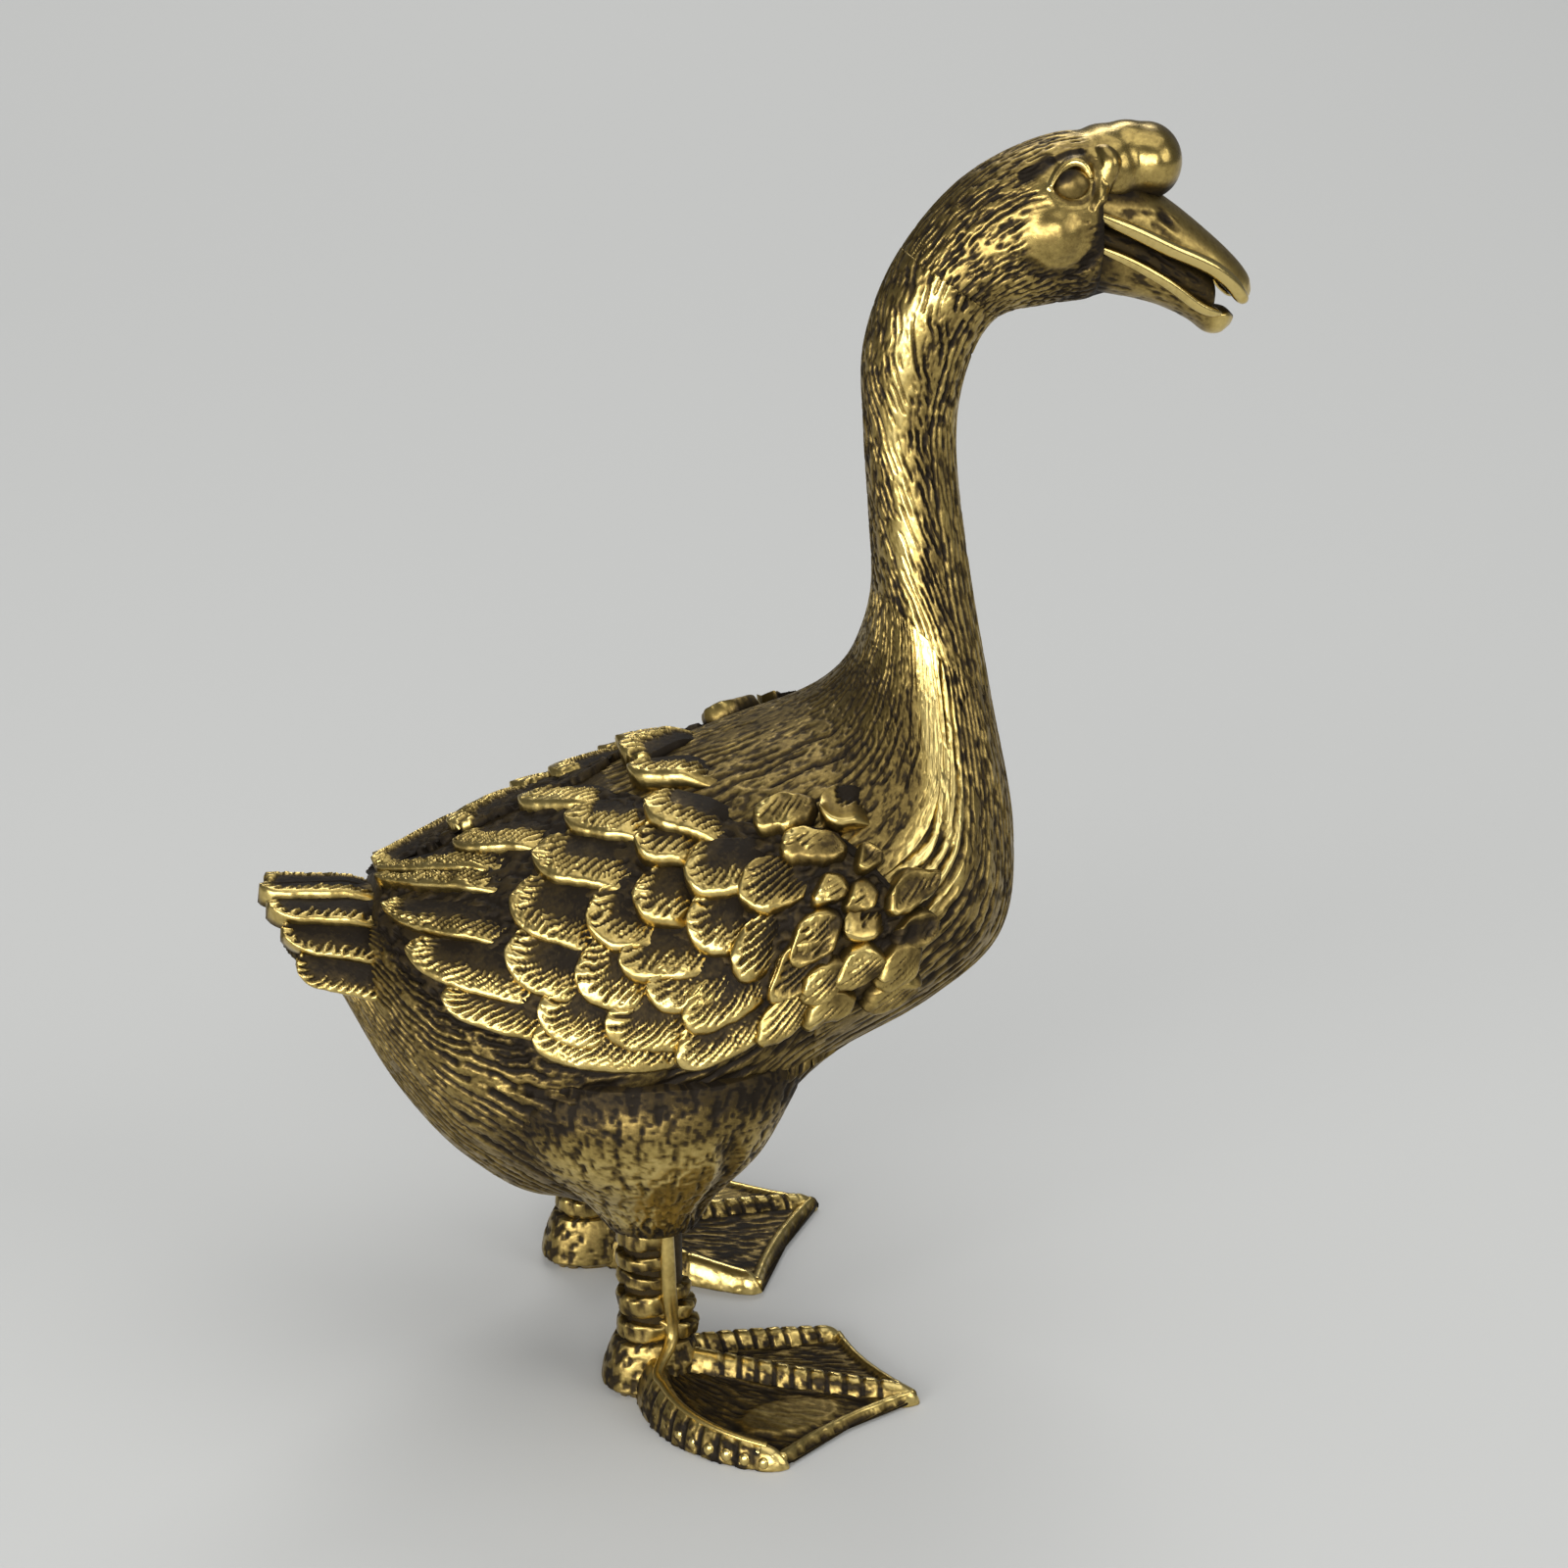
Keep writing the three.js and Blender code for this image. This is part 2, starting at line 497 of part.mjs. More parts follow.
// Closed slab between an outer and an inner sheet of points in equal rows and columns.
function slab(outer, inner) {
  const across = outer[0].length;
  const points = [...outer.flat(), ...inner.flat()];
  const under = outer.length * across;
  const at = (i, j) => i * across + j;
  const faces = [];
  const quad = (a, b, c, d) => faces.push([a, b, c], [a, c, d]);
  for (let i = 0; i + 1 < outer.length; i += 1) {
    for (let j = 0; j + 1 < across; j += 1) {
      quad(at(i, j), at(i + 1, j), at(i + 1, j + 1), at(i, j + 1));
      quad(under + at(i, j), under + at(i, j + 1), under + at(i + 1, j + 1), under + at(i + 1, j));
    }
    quad(at(i + 1, 0), at(i, 0), under + at(i, 0), under + at(i + 1, 0));
    quad(at(i, across - 1), at(i + 1, across - 1), under + at(i + 1, across - 1), under + at(i, across - 1));
  }
  const last = outer.length - 1;
  for (let j = 0; j + 1 < across; j += 1) {
    quad(at(0, j), at(0, j + 1), under + at(0, j + 1), under + at(0, j));
    quad(at(last, j + 1), at(last, j), under + at(last, j), under + at(last, j + 1));
  }
  return solid(geometry(points, faces));
}

// Distances on the wing are measured along the flank and round it.
const flank = steps(0, NECK_SEAM, 90).map((rung) => (
  { rung, point: sectionPoint(body, rung, Math.PI / 3), run: 0 }));
flank.forEach((here, i) => {
  if (i > 0) here.run = flank[i - 1].run + here.point.distanceTo(flank[i - 1].point);
});

function between(list, from, to, value) {
  const above = list.findIndex((here) => here[from] >= value);
  if (above <= 0) return above < 0 ? list[list.length - 1][to] : list[0][to];
  const [low, high] = [list[above - 1], list[above]];
  return low[to] + (high[to] - low[to]) * (value - low[from]) / (high[from] - low[from]);
}

// One feather: rounded at the tip, low at its upper edge and root, highest just above its lower edge.
function feather({ tip, length, width, slant, root = 0.1 }, lift) {
  const [c, s] = [Math.cos(slant * Math.PI / 180), Math.sin(slant * Math.PI / 180)];
  const start = between(flank, "rung", "run", tip[0]);
  const rows = [[0, 0.5, 0.6], [0.4 * width, 1, 1], [length, 0.78, root]];
  if (length > 2 * width) rows.splice(2, 0, [0.6 * length, 0.9, 0.5]);
  const columns = [[-1, 0.3], [0.6, 1], [1, 0.4]];
  const sheet = (height) => rows.map(([along, spread, rise]) => columns.map(([side, crest]) => {
    const down = side * spread * width / 2;
    const rung = between(flank, "run", "rung", start + along * c - down * s);
    return wingPoint(rung, tip[1] + (along * s + down * c) / FLANK_DEGREE, height(rise * crest));
  }));
  return slab(sheet((share) => SEAM + 0.9 * WING_PLATE + lift * share), sheet(() => SEAM + WING_PLATE / 2));
}

// Slab over the part of the body between two edge lines.
function wingSlab(upperEdge, lowerEdge, from, to) {
  const [upper, lower] = [upperEdge, lowerEdge].map((edge) => new THREE.SplineCurve(
    edge.map((place) => new THREE.Vector2(...place))));
  const sheet = (height) => steps(0.02, 1, 14).map((along) => steps(0, 1, 5).map((across) => {
    const place = upper.getPoint(along).lerp(lower.getPoint(along), across * 0.98 + 0.01);
    return wingPoint(place.x, place.y, height);
  }));
  return slab(sheet(to), sheet(from));
}

function buildWing() {
  let wing = wingSlab(PLATE_UPPER, PLATE_LOWER, SEAM, SEAM + WING_PLATE);
  for (const shape of FLIGHT_FEATHERS) wing = wing.add(feather(shape, FLIGHT_LIFT));
  for (const shape of COVERTS) wing = wing.add(feather(shape, COVERT_LIFT));
  const shells = wing.trimByPlane([0, -1, 0], SEAM / 2).decompose();
  return shells.sort((a, b) => b.volume() - a.volume())[0];
}

function wingWithPegs(wing) {
  return WING_PEGS.reduce((sum, place) => sum.add(wingPeg(place, 0)), wing);
}

// Tail fan: an arched block of feathers, ridged along its length, with rounded ends

function buildTail() {
  const tail = tailFrame();
  const across = steps(-1, 1, 4 * TAIL.feathers);
  const under = steps(1, -1, 8).slice(1, -1);
  const at = (t, c, depth) => {
    const half = TAIL.rootHalf + (TAIL.tipHalf - TAIL.rootHalf) * t;
    const thick = TAIL.rootThick + (TAIL.tipThick - TAIL.rootThick) * t;
    const wave = Math.abs(Math.sin(Math.PI * TAIL.feathers * (c + 1) / 2));
    const arch = TAIL.rootArch + (TAIL.tipArch - TAIL.rootArch) * t;
    const length = TAIL.length * (1 - 0.14 * c * c) - TAIL.notch * (1 - wave);
    const height = TAIL.ridge * wave - arch * c * c - depth * thick;
    return tail.start.clone().addScaledVector(tail.along, length * t).addScaledVector(tail.up, height)
      .add(new THREE.Vector3(0, half * c, 0));
  };
  const rings = steps(0, 1, 7).map((t) => [
    ...across.map((c) => at(t, c, 0.35 * c * c)), ...under.map((c) => at(t, c, 1))]);
  const rump = skin(steps(0, NECK_SEAM, 22).map((rung) => ring(20, (round) =>
    sectionPoint(body, rung, round).addScaledVector(sectionNormal(body, rung, round), SEAM))));
  let fan = solid(skin(rings)).subtract(solid(rump));
  for (const lift of [0, -0.8 * SEAM]) {
    const tip = wingBody.translate([0, 0, lift]);
    fan = fan.subtract(tip).subtract(tip.mirror([0, 1, 0]));
  }
  return fan.add(tailTenon(0));
}

// Legs: ringed shank with a spigot in the thigh, webbed foot on a pin

function buildShank(side) {
  const rings = steps(0, 1, 3 * SHANK_RINGS.count).map((t) => {
    const z = ankleHeight + SEAM + (LEG.shank - 2 * SEAM) * t;
    const waist = SHANK_RINGS.height * Math.cos(Math.PI * SHANK_RINGS.count * t) ** 2;
    const place = shankAxis(side, z);
    return ring(10, (round) => new THREE.Vector3(
      place.x + (LEG.long - waist) * Math.cos(round), place.y + (LEG.wide - waist) * Math.sin(round), z));
  });
  const [foot, top] = [kneeHeight - SPIGOT.radius, kneeHeight + SPIGOT.length];
  const spigot = rod(SPIGOT.radius, shankAxis(side, foot), shankAxis(side, top));
  return solid(skin(rings)).add(spigot).subtract(footPin(side, PIN_CLEARANCE));
}

function footPin(side, clearance) {
  const half = FOOT_PIN.length / 2 + (clearance > 0 ? HOLE_END : 0);
  const [low, high] = [ankleHeight - half, ankleHeight + half];
  return rod(FOOT_PIN.radius + clearance, shankAxis(side, low), shankAxis(side, high), 12);
}

// Plan line of a toe from the shank to its tip, bent toward the outside.
function toeLine(side, heading, toe) {
  const place = legPlace(side);
  const turn = THREE.MathUtils.degToRad(heading);
  const root = new THREE.Vector2(place.x, place.y);
  const ahead = new THREE.Vector2(Math.cos(turn), side * Math.sin(turn));
  const out = new THREE.Vector2(-Math.sin(turn), side * Math.cos(turn));
  const tip = root.clone().addScaledVector(ahead, toe.length);
  const knee = root.clone().add(tip).multiplyScalar(0.5).addScaledVector(out, 2 * toe.bend);
  return new THREE.QuadraticBezierCurve(root, knee, tip);
}

function buildToe(line) {
  const rings = steps(0, 1, 2 * TOE_BANDS.count).map((t, i) => {
    const place = line.getPoint(t);
    const heading = line.getTangent(t);
    const end = Math.sqrt(Math.max(0.12, 1 - Math.max(0, (t - 0.85) / 0.15) ** 2));
    const half = (TOE.rootHalf + (TOE.tipHalf - TOE.rootHalf) * t) * end;
    const high = (TOE.rootHigh + (TOE.tipHigh - TOE.rootHigh) * t) * end - TOE_BANDS.height * (i % 2);
    return steps(0, Math.PI, 5).map((round) => new THREE.Vector3(
      place.x - heading.y * half * Math.cos(round), place.y + heading.x * half * Math.cos(round),
      soleHeight + high * Math.sin(round)));
  });
  const [tip, heading] = [line.getPoint(1), line.getTangent(1)];
  const nail = new THREE.SphereGeometry(1, 6, 5).scale(NAIL.long, NAIL.wide, NAIL.high);
  nail.rotateZ(heading.angle()).translate(tip.x, tip.y, soleHeight + NAIL.high);
  return solid(skin(rings)).add(solid(nail));
}

function buildFoot(side) {
  const headings = side < 0 ? RIGHT_TOE_ANGLES : LEFT_TOE_ANGLES;
  const place = legPlace(side);
  const outer = toeLine(side, headings.outer, OUTER_TOE);
  const middle = toeLine(side, headings.middle, MIDDLE_TOE);
  const inner = toeLine(side, headings.inner, INNER_TOE);
  const root = new THREE.Vector2(place.x, place.y);
  const notch = (a, b) => root.clone().lerp(a.v2.clone().lerp(b.v2, 0.5), WEB.notchShare);
  const outline = new THREE.Shape();
  outline.moveTo(root.x, root.y);
  outline.quadraticCurveTo(outer.v1.x, outer.v1.y, outer.v2.x, outer.v2.y);
  const first = notch(outer, middle);
  outline.quadraticCurveTo(first.x, first.y, middle.v2.x, middle.v2.y);
  const second = notch(middle, inner);
  outline.quadraticCurveTo(second.x, second.y, inner.v2.x, inner.v2.y);
  outline.closePath();
  const web = new THREE.ExtrudeGeometry(outline, { depth: WEB.thick, bevelEnabled: false, curveSegments: 6 });
  let foot = solid(web.translate(0, 0, soleHeight));
  for (const line of [outer, middle, inner]) foot = foot.add(buildToe(line));
  const heel = skin(steps(0, 1, 3).map((t) => ring(14, (round) => {
    const reach = Math.cos(round) > 0 ? HEEL.front : HEEL.back;
    const long = reach + (LEG.long - reach) * t * t;
    const wide = HEEL.wide + (LEG.wide - HEEL.wide) * t * t;
    return new THREE.Vector3(place.x + long * Math.cos(round), place.y + wide * Math.sin(round),
      soleHeight + LEG.footHeight * t);
  })));
  return foot.add(solid(heel)).subtract(footPin(side, PIN_CLEARANCE));
}

// Assembly

const figure = new THREE.Group();
figure.name = "brass_goose_statue";

function node(name, shape, finish) {
  const tidy = shape.clone();
  tidy.computeVertexNormals();
  const material = new THREE.MeshStandardMaterial({
    color: finish.colour, roughness: finish.roughness, metalness: finish.metalness,
  });
  const mesh = new THREE.Mesh(tidy, material);
  mesh.name = name;
  figure.add(mesh);
}

const wingBody = buildWing();
const rightWing = plain(wingWithPegs(wingBody));
node("torso", plain(buildTorso()), PATINA);
node("neck_dowel", plain(dowel(NECK_DOWEL, neckJoint)), POLISHED);
node("neck", plain(buildNeck()), PATINA);
node("head_dowel", plain(dowel(HEAD_DOWEL, headJoint)), POLISHED);
node("head", plain(buildHead()), PATINA);
node("upper_bill", plain(buildUpperBill()), POLISHED);
node("lower_bill", plain(buildLowerBill()), POLISHED);
node("right_eye", plain(eye(-1, 0)), POLISHED);
node("left_eye", plain(eye(1, 0)), POLISHED);
node("right_wing", rightWing, PATINA);
node("left_wing", mirrored(rightWing), PATINA);
node("tail_fan", plain(buildTail()), PATINA);
for (const [name, side] of [["right", -1], ["left", 1]]) {
  node(`${name}_shank`, plain(buildShank(side)), PATINA);
  node(`${name}_foot_pin`, plain(footPin(side, 0)), POLISHED);
  node(`${name}_foot`, plain(buildFoot(side)), PATINA);
}

// The figure is set down with its soles on Z = 0 and its plan centred on the origin.
const bounds = new THREE.Box3().setFromObject(figure);
const centre = bounds.getCenter(new THREE.Vector3());
for (const mesh of figure.children) mesh.geometry.translate(-centre.x, -centre.y, -bounds.min.z);

export default figure;
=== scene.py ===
import math

import bmesh
import bpy
import numpy as np
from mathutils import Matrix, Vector
from mathutils.bvhtree import BVHTree


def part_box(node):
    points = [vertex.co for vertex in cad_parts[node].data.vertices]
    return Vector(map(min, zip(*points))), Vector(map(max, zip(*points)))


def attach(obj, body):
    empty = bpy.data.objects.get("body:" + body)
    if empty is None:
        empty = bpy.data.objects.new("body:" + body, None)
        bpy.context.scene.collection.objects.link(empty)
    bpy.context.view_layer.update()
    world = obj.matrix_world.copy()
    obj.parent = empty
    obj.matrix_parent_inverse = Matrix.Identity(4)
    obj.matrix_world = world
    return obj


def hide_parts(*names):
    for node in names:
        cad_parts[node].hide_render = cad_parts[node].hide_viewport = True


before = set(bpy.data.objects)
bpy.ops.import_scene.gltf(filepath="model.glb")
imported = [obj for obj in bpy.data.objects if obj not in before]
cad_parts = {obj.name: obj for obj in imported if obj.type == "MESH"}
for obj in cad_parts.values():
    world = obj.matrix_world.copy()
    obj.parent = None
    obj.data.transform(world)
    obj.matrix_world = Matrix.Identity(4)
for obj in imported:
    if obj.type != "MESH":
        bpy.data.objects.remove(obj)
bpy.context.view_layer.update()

# Torso: the lost-wax brass casting that carries every other piece, with both thighs cast on. Its skin was cut
# in the wax with a graver, long strokes down the breast and fine lines over the mantle, then the whole figure
# was darkened and rubbed bright again on the high places.
MM = 0.001
# Each section: ahead of and above the one before it, depth from back to belly, lean in degrees, half width.
BODY_SECTIONS = {
    "tail_root": (0, 0, 5.55, 21, 3.8),
    "rump": (2.44, -1.85, 11.05, 10, 7.2),
    "loin": (3.26, -1.15, 16.35, 7.5, 9.6),
    "belly": (4.19, -0.3, 20.15, 7.5, 11.2),
    "middle": (5.29, 1.3, 20.2, 2.5, 11.8),
    "ribs": (5.01, 3.1, 16.3, -7, 11.8),
    "breast": (4.41, 1.95, 15.2, -20, 10.8),
    "crop": (2.8, 2.15, 14.6, -30.5, 9),
    "throat": (0.85, 3.4, 11.9, -38, 6.4),
    "neck_base": (-0.3, 4.7, 7.7, -47.5, 4.2),
    "neck_low": (-0.65, 4.91, 5.45, -61.5, 3),
    "neck_middle": (-0.5, 4.91, 4.45, -79.5, 2.4),
    "neck_high": (0.2, 3.91, 5, -73.5, 2.6),
    "nape": (1.45, 3.26, 5.45, -55.5, 3),
    "crown": (2.8, 2.1, 7.1, -29.5, 3.4),
    "face": (3.15, 1, 7.85, -6, 3.5),
    "bill_root": (2.25, -0.35, 6.55, 6, 2.7),
}
NECK_RUNG = list(BODY_SECTIONS).index("neck_base")
HEAD_RUNG = list(BODY_SECTIONS).index("nape")


def section_table(rows, start):
    """Back point, front point (x, z) and half width of each section, from a start point."""
    table = []
    x, z = start
    for ahead, up, depth, lean, half in rows:
        x, z = x + ahead, z + up
        reach_x = depth / 2 * math.sin(math.radians(lean))
        reach_z = depth / 2 * math.cos(math.radians(lean))
        table.append((x + reach_x, z + reach_z, x - reach_x, z - reach_z, half))
    return np.array(table)


def smooth(table, at):
    """Rows of a table joined by a smooth curve through them."""
    at = np.asarray(at, float)
    last = len(table) - 1
    padded = np.vstack([2 * table[0] - table[1], table, 2 * table[-1] - table[-2]])
    first = np.clip(np.floor(at).astype(int), 0, last - 1)
    share = (at - first)[..., None]
    before, start, end, after = (padded[first + step] for step in range(4))
    bend = 2 * before - 5 * start + 4 * end - after
    twist = 3 * (start - end) + after - before
    return start + 0.5 * share * (end - before + share * (bend + share * twist))


def section_point(table, rung, turn, low=0.5):
    """Skin point of a section; turn runs round from the back, low is the share below the widest line."""
    row = smooth(table, rung)
    rise = np.cos(turn)
    share = low + rise * np.where(rise > 0, 1 - low, low)
    x = row[..., 2] + (row[..., 0] - row[..., 2]) * share
    z = row[..., 3] + (row[..., 1] - row[..., 3]) * share
    return np.stack([x, row[..., 4] * np.sin(turn) + MIDLINE, z], -1)


# The neck dowel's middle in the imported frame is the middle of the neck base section.
seam = [(a + b) / 2 / MM for a, b in zip(*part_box("neck_dowel"))]
MIDLINE = seam[1]
steps_to_seam = list(BODY_SECTIONS.values())[: NECK_RUNG + 1]
BODY_START = (seam[0] - sum(s[0] for s in steps_to_seam), seam[2] - sum(s[1] for s in steps_to_seam))
BODY = section_table(BODY_SECTIONS.values(), BODY_START)


def lattice(first, second):
    """Two runs of steps crossed, as two tables."""
    return np.meshgrid(first, second, indexing="ij")


def mesh_piece(name, spots, edges=(), faces=()):
    """New piece over spots in millimetres."""
    mesh = bpy.data.meshes.new(name)
    mesh.from_pydata((np.array(spots, float) * MM).tolist(), edges, faces)
    piece = bpy.data.objects.new(name, mesh)
    bpy.context.scene.collection.objects.link(piece)
    return piece


def sheet_piece(name, points, closed=True):
    """Skin over rows of points; a closed one makes each row a ring and fans over the first and last row."""
    rows, columns = points.shape[:2]
    spots = points.reshape(-1, 3)
    index = np.arange(rows * columns).reshape(rows, columns)
    here = index if closed else index[:, :-1]
    beside = np.roll(index, -1, 1) if closed else index[:, 1:]
    faces = np.stack([here[:-1], here[1:], beside[1:], beside[:-1]], -1).reshape(-1, 4).tolist()
    if closed:
        first, last = len(spots), len(spots) + 1
        spots = np.vstack([spots, points[0].mean(0), points[-1].mean(0)])
        faces += [[first, a, b] for a, b in zip(here[0].tolist(), beside[0].tolist())]
        faces += [[last, b, a] for a, b in zip(here[-1].tolist(), beside[-1].tolist())]
    return mesh_piece(name, spots, faces=faces)


def keep_value(piece, name, values):
    """Stores a number or vector for each point of a piece, or one number for all; end points get the mean."""
    values = np.asarray(values, float)
    if values.ndim == 0:
        values = np.full(len(piece.data.vertices), values)
    vector = values.shape[-1] == 3 and values.ndim > 1
    values = values.reshape(-1, 3) if vector else values.reshape(-1, 1)
    missing = len(piece.data.vertices) - len(values)
    values = np.vstack([values] + [values.mean(0)] * missing)
    kind, field = ("FLOAT_VECTOR", "vector") if vector else ("FLOAT", "value")
    layer = piece.data.attributes.new(name, kind, "POINT")
    layer.data.foreach_set(field, values.astype(np.float32).ravel())


def ease(values, low, high):
    """Smooth step from 0 at low to 1 at high."""
    t = np.clip((values - low) / (high - low), 0, 1)
    return t * t * (3 - 2 * t)


class Rule:
    """A socket of a node tree that takes part in arithmetic, so that a rule reads as one line."""

    def __init__(self, tree, socket):
        self.tree = tree
        self.socket = socket

    def math(self, operation, *values):
        node = self.tree.nodes.new("ShaderNodeMath")
        node.operation = operation
        for socket, value in zip(node.inputs, values):
            wire(self.tree, value, socket)
        return Rule(self.tree, node.outputs[0])

    def __add__(self, other):
        return self.math("ADD", self, other)

    def __sub__(self, other):
        return self.math("SUBTRACT", self, other)

    def __rsub__(self, other):
        return self.math("SUBTRACT", other, self)

    def __mul__(self, other):
        return self.math("MULTIPLY", self, other)

    def __truediv__(self, other):
        return self.math("DIVIDE", self, other)

    __radd__ = __add__
    __rmul__ = __mul__

    def least(self, other):
        return self.math("MINIMUM", self, other)

    def most(self, other):
        return self.math("MAXIMUM", self, other)

    def call(self, operation):
        return self.math(operation, self)

    def step(self, low, high):
        node = add_node(self.tree, "ShaderNodeMapRange", interpolation_type="SMOOTHSTEP")
        for socket, value in zip(node.inputs, (self, low, high, 0.0, 1.0)):
            wire(self.tree, value, socket)
        return Rule(self.tree, node.outputs[0])


def wire(tree, value, socket):
    if isinstance(value, Rule):
        tree.links.new(value.socket, socket)
    else:
        socket.default_value = value


def add_node(tree, kind, inputs=None, **settings):
    node = tree.nodes.new(kind)
    for name, value in settings.items():
        setattr(node, name, value)
    for name, value in (inputs or {}).items():
        wire(tree, value, next(s for s in node.inputs if s.name == name and s.enabled))
    return node


def made(tree, kind, inputs=None, output=None, **settings):
    """Result of a new node: its first output, or the named one."""
    node = add_node(tree, kind, inputs, **settings)
    return Rule(tree, next(s for s in node.outputs if s.enabled and output in (None, s.name)))


def named(tree, name, kind="FLOAT"):
    return made(tree, "GeometryNodeInputNamedAttribute", {"Name": name}, data_type=kind)


def parts_of(tree, vector):
    node = add_node(tree, "ShaderNodeSeparateXYZ", {"Vector": vector})
    return [Rule(tree, socket) for socket in node.outputs]


def vector_of(tree, x, y, z):
    return made(tree, "ShaderNodeCombineXYZ", {"X": x, "Y": y, "Z": z})


def noise(tree, vector, scale=1.0, detail=2.0, roughness=0.5):
    values = {"Vector": vector, "Scale": scale, "Detail": detail, "Roughness": roughness}
    return Rule(tree, add_node(tree, "ShaderNodeTexNoise", values).outputs[0])


def shape_tree(name, sockets):
    """New geometry tree with named inputs; returns the tree, its inputs and the socket of its result."""
    tree = bpy.data.node_groups.new(name, "GeometryNodeTree")
    tree.interface.new_socket("Geometry", in_out="INPUT", socket_type="NodeSocketGeometry")
    for label, kind, default in sockets:
        socket = tree.interface.new_socket(label, in_out="INPUT", socket_type="NodeSocket" + kind)
        if default is not None:
            socket.default_value = default
    tree.interface.new_socket("Geometry", in_out="OUTPUT", socket_type="NodeSocketGeometry")
    inputs = {s.name: Rule(tree, s) for s in tree.nodes.new("NodeGroupInput").outputs if s.name}
    return tree, inputs, tree.nodes.new("NodeGroupOutput").inputs["Geometry"]


def store(tree, geometry, name, value, kind="FLOAT"):
    values = {"Geometry": geometry, "Name": name, "Value": value}
    return made(tree, "GeometryNodeStoreNamedAttribute", values, data_type=kind)


def stretch(tree, vector, amount):
    node = add_node(tree, "ShaderNodeVectorMath", operation="SCALE")
    wire(tree, vector, node.inputs[0])
    wire(tree, amount, node.inputs["Scale"])
    return Rule(tree, node.outputs[0])


def finish_tree(tree, geometry, material, result):
    """Every tree ends in plain geometry with its material set."""
    whole = made(tree, "GeometryNodeRealizeInstances", {"Geometry": geometry})
    dressed = add_node(tree, "GeometryNodeSetMaterial", {"Geometry": whole, "Material": material})
    tree.links.new(dressed.outputs[0], result)


def shape_by(piece, tree, values):
    modifier = piece.modifiers.new(tree.name, "NODES")
    modifier.node_group = tree
    for item in tree.interface.items_tree:
        if item.in_out == "INPUT" and item.name in values:
            modifier[item.identifier] = values[item.name]


def settle(piece):
    """Turns a piece and its modifiers into a plain mesh."""
    graph = bpy.context.evaluated_depsgraph_get()
    graph.update()
    mesh = bpy.data.meshes.new_from_object(
        piece.evaluated_get(graph), preserve_all_data_layers=True, depsgraph=graph)
    piece.modifiers.clear()
    piece.data = mesh
    mesh.shade_smooth()


def close_shells(piece):
    """Closes a piece's open edges and turns all its faces outward."""
    weld, sliver = 0.0005 * MM, 0.002 * MM
    mesh = bmesh.new()
    mesh.from_mesh(piece.data)
    bmesh.ops.remove_doubles(mesh, verts=mesh.verts, dist=weld)
    bmesh.ops.dissolve_degenerate(mesh, edges=mesh.edges, dist=sliver)
    bmesh.ops.holes_fill(mesh, edges=[e for e in mesh.edges if e.is_boundary], sides=0)
    bmesh.ops.triangle_fill(mesh, edges=[e for e in mesh.edges if e.is_boundary], use_beauty=False)
    bmesh.ops.recalc_face_normals(mesh, faces=mesh.faces)
    mesh.to_mesh(piece.data)
    mesh.free()
    piece.data.shade_smooth()


def seat(piece, node):
    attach(piece, "root")
    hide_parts(node)


def fit(piece, node, closed=False):
    """Settles a piece, closes it if it isn't closed yet and seats it."""
    settle(piece)
    if not closed:
        close_shells(piece)
    seat(piece, node)


def make_patina():
    """Colour, roughness and metal of rubbed brass: dark where the relief is low, bright where it is high; in
    places the relief also holds painted shade and painted highlights.
    """
    group = bpy.data.node_groups.new("rubbed patina", "ShaderNodeTree")
    for label, default in (("Relief", 0.5), ("Polish", 0.0), ("Mottle", 0.5), ("Grain", 0.4)):
        socket = group.interface.new_socket(label, in_out="INPUT", socket_type="NodeSocketFloat")
        socket.default_value = default
    group.interface.new_socket("Colour", in_out="OUTPUT", socket_type="NodeSocketColor")
    for label in ("Roughness", "Metal", "Height"):
        group.interface.new_socket(label, in_out="OUTPUT", socket_type="NodeSocketFloat")
    start = {s.name: Rule(group, s) for s in group.nodes.new("NodeGroupInput").outputs if s.name}
    place = made(group, "ShaderNodeTexCoord", output="Object")
    blotch = noise(group, place, 520.0, 4.0, 0.6)
    grain = noise(group, place, 4200.0, 3.0, 0.6)
    level = start["Relief"] + (blotch - 0.5) * start["Mottle"] + (grain - 0.5) * start["Grain"]
    ramp = add_node(group, "ShaderNodeValToRGB", {"Fac": level})
    colours = ((0.08, (0.012, 0.008, 0.004)), (0.34, (0.050, 0.034, 0.013)), (0.56, (0.22, 0.155, 0.050)),
               (0.78, (0.47, 0.345, 0.110)), (1.0, (0.70, 0.54, 0.20)))
    while len(ramp.color_ramp.elements) < len(colours):
        ramp.color_ramp.elements.new(0.5)
    for element, (place_on, colour) in zip(ramp.color_ramp.elements, colours):
        element.position = place_on
        element.color = (*colour, 1)
    end = group.nodes.new("NodeGroupOutput")
    group.links.new(ramp.outputs[0], end.inputs["Colour"])
    roughness = 0.66 - 0.2 * level.step(0.1, 0.5) - 0.18 * level.step(0.45, 0.85) - 0.09 * start["Polish"]
    group.links.new(roughness.socket, end.inputs["Roughness"])
    group.links.new((0.6 + 0.4 * level.step(0.1, 0.5)).socket, end.inputs["Metal"])
    group.links.new((grain * 0.6 + blotch * 0.4).socket, end.inputs["Height"])
    return group


PATINA = make_patina()


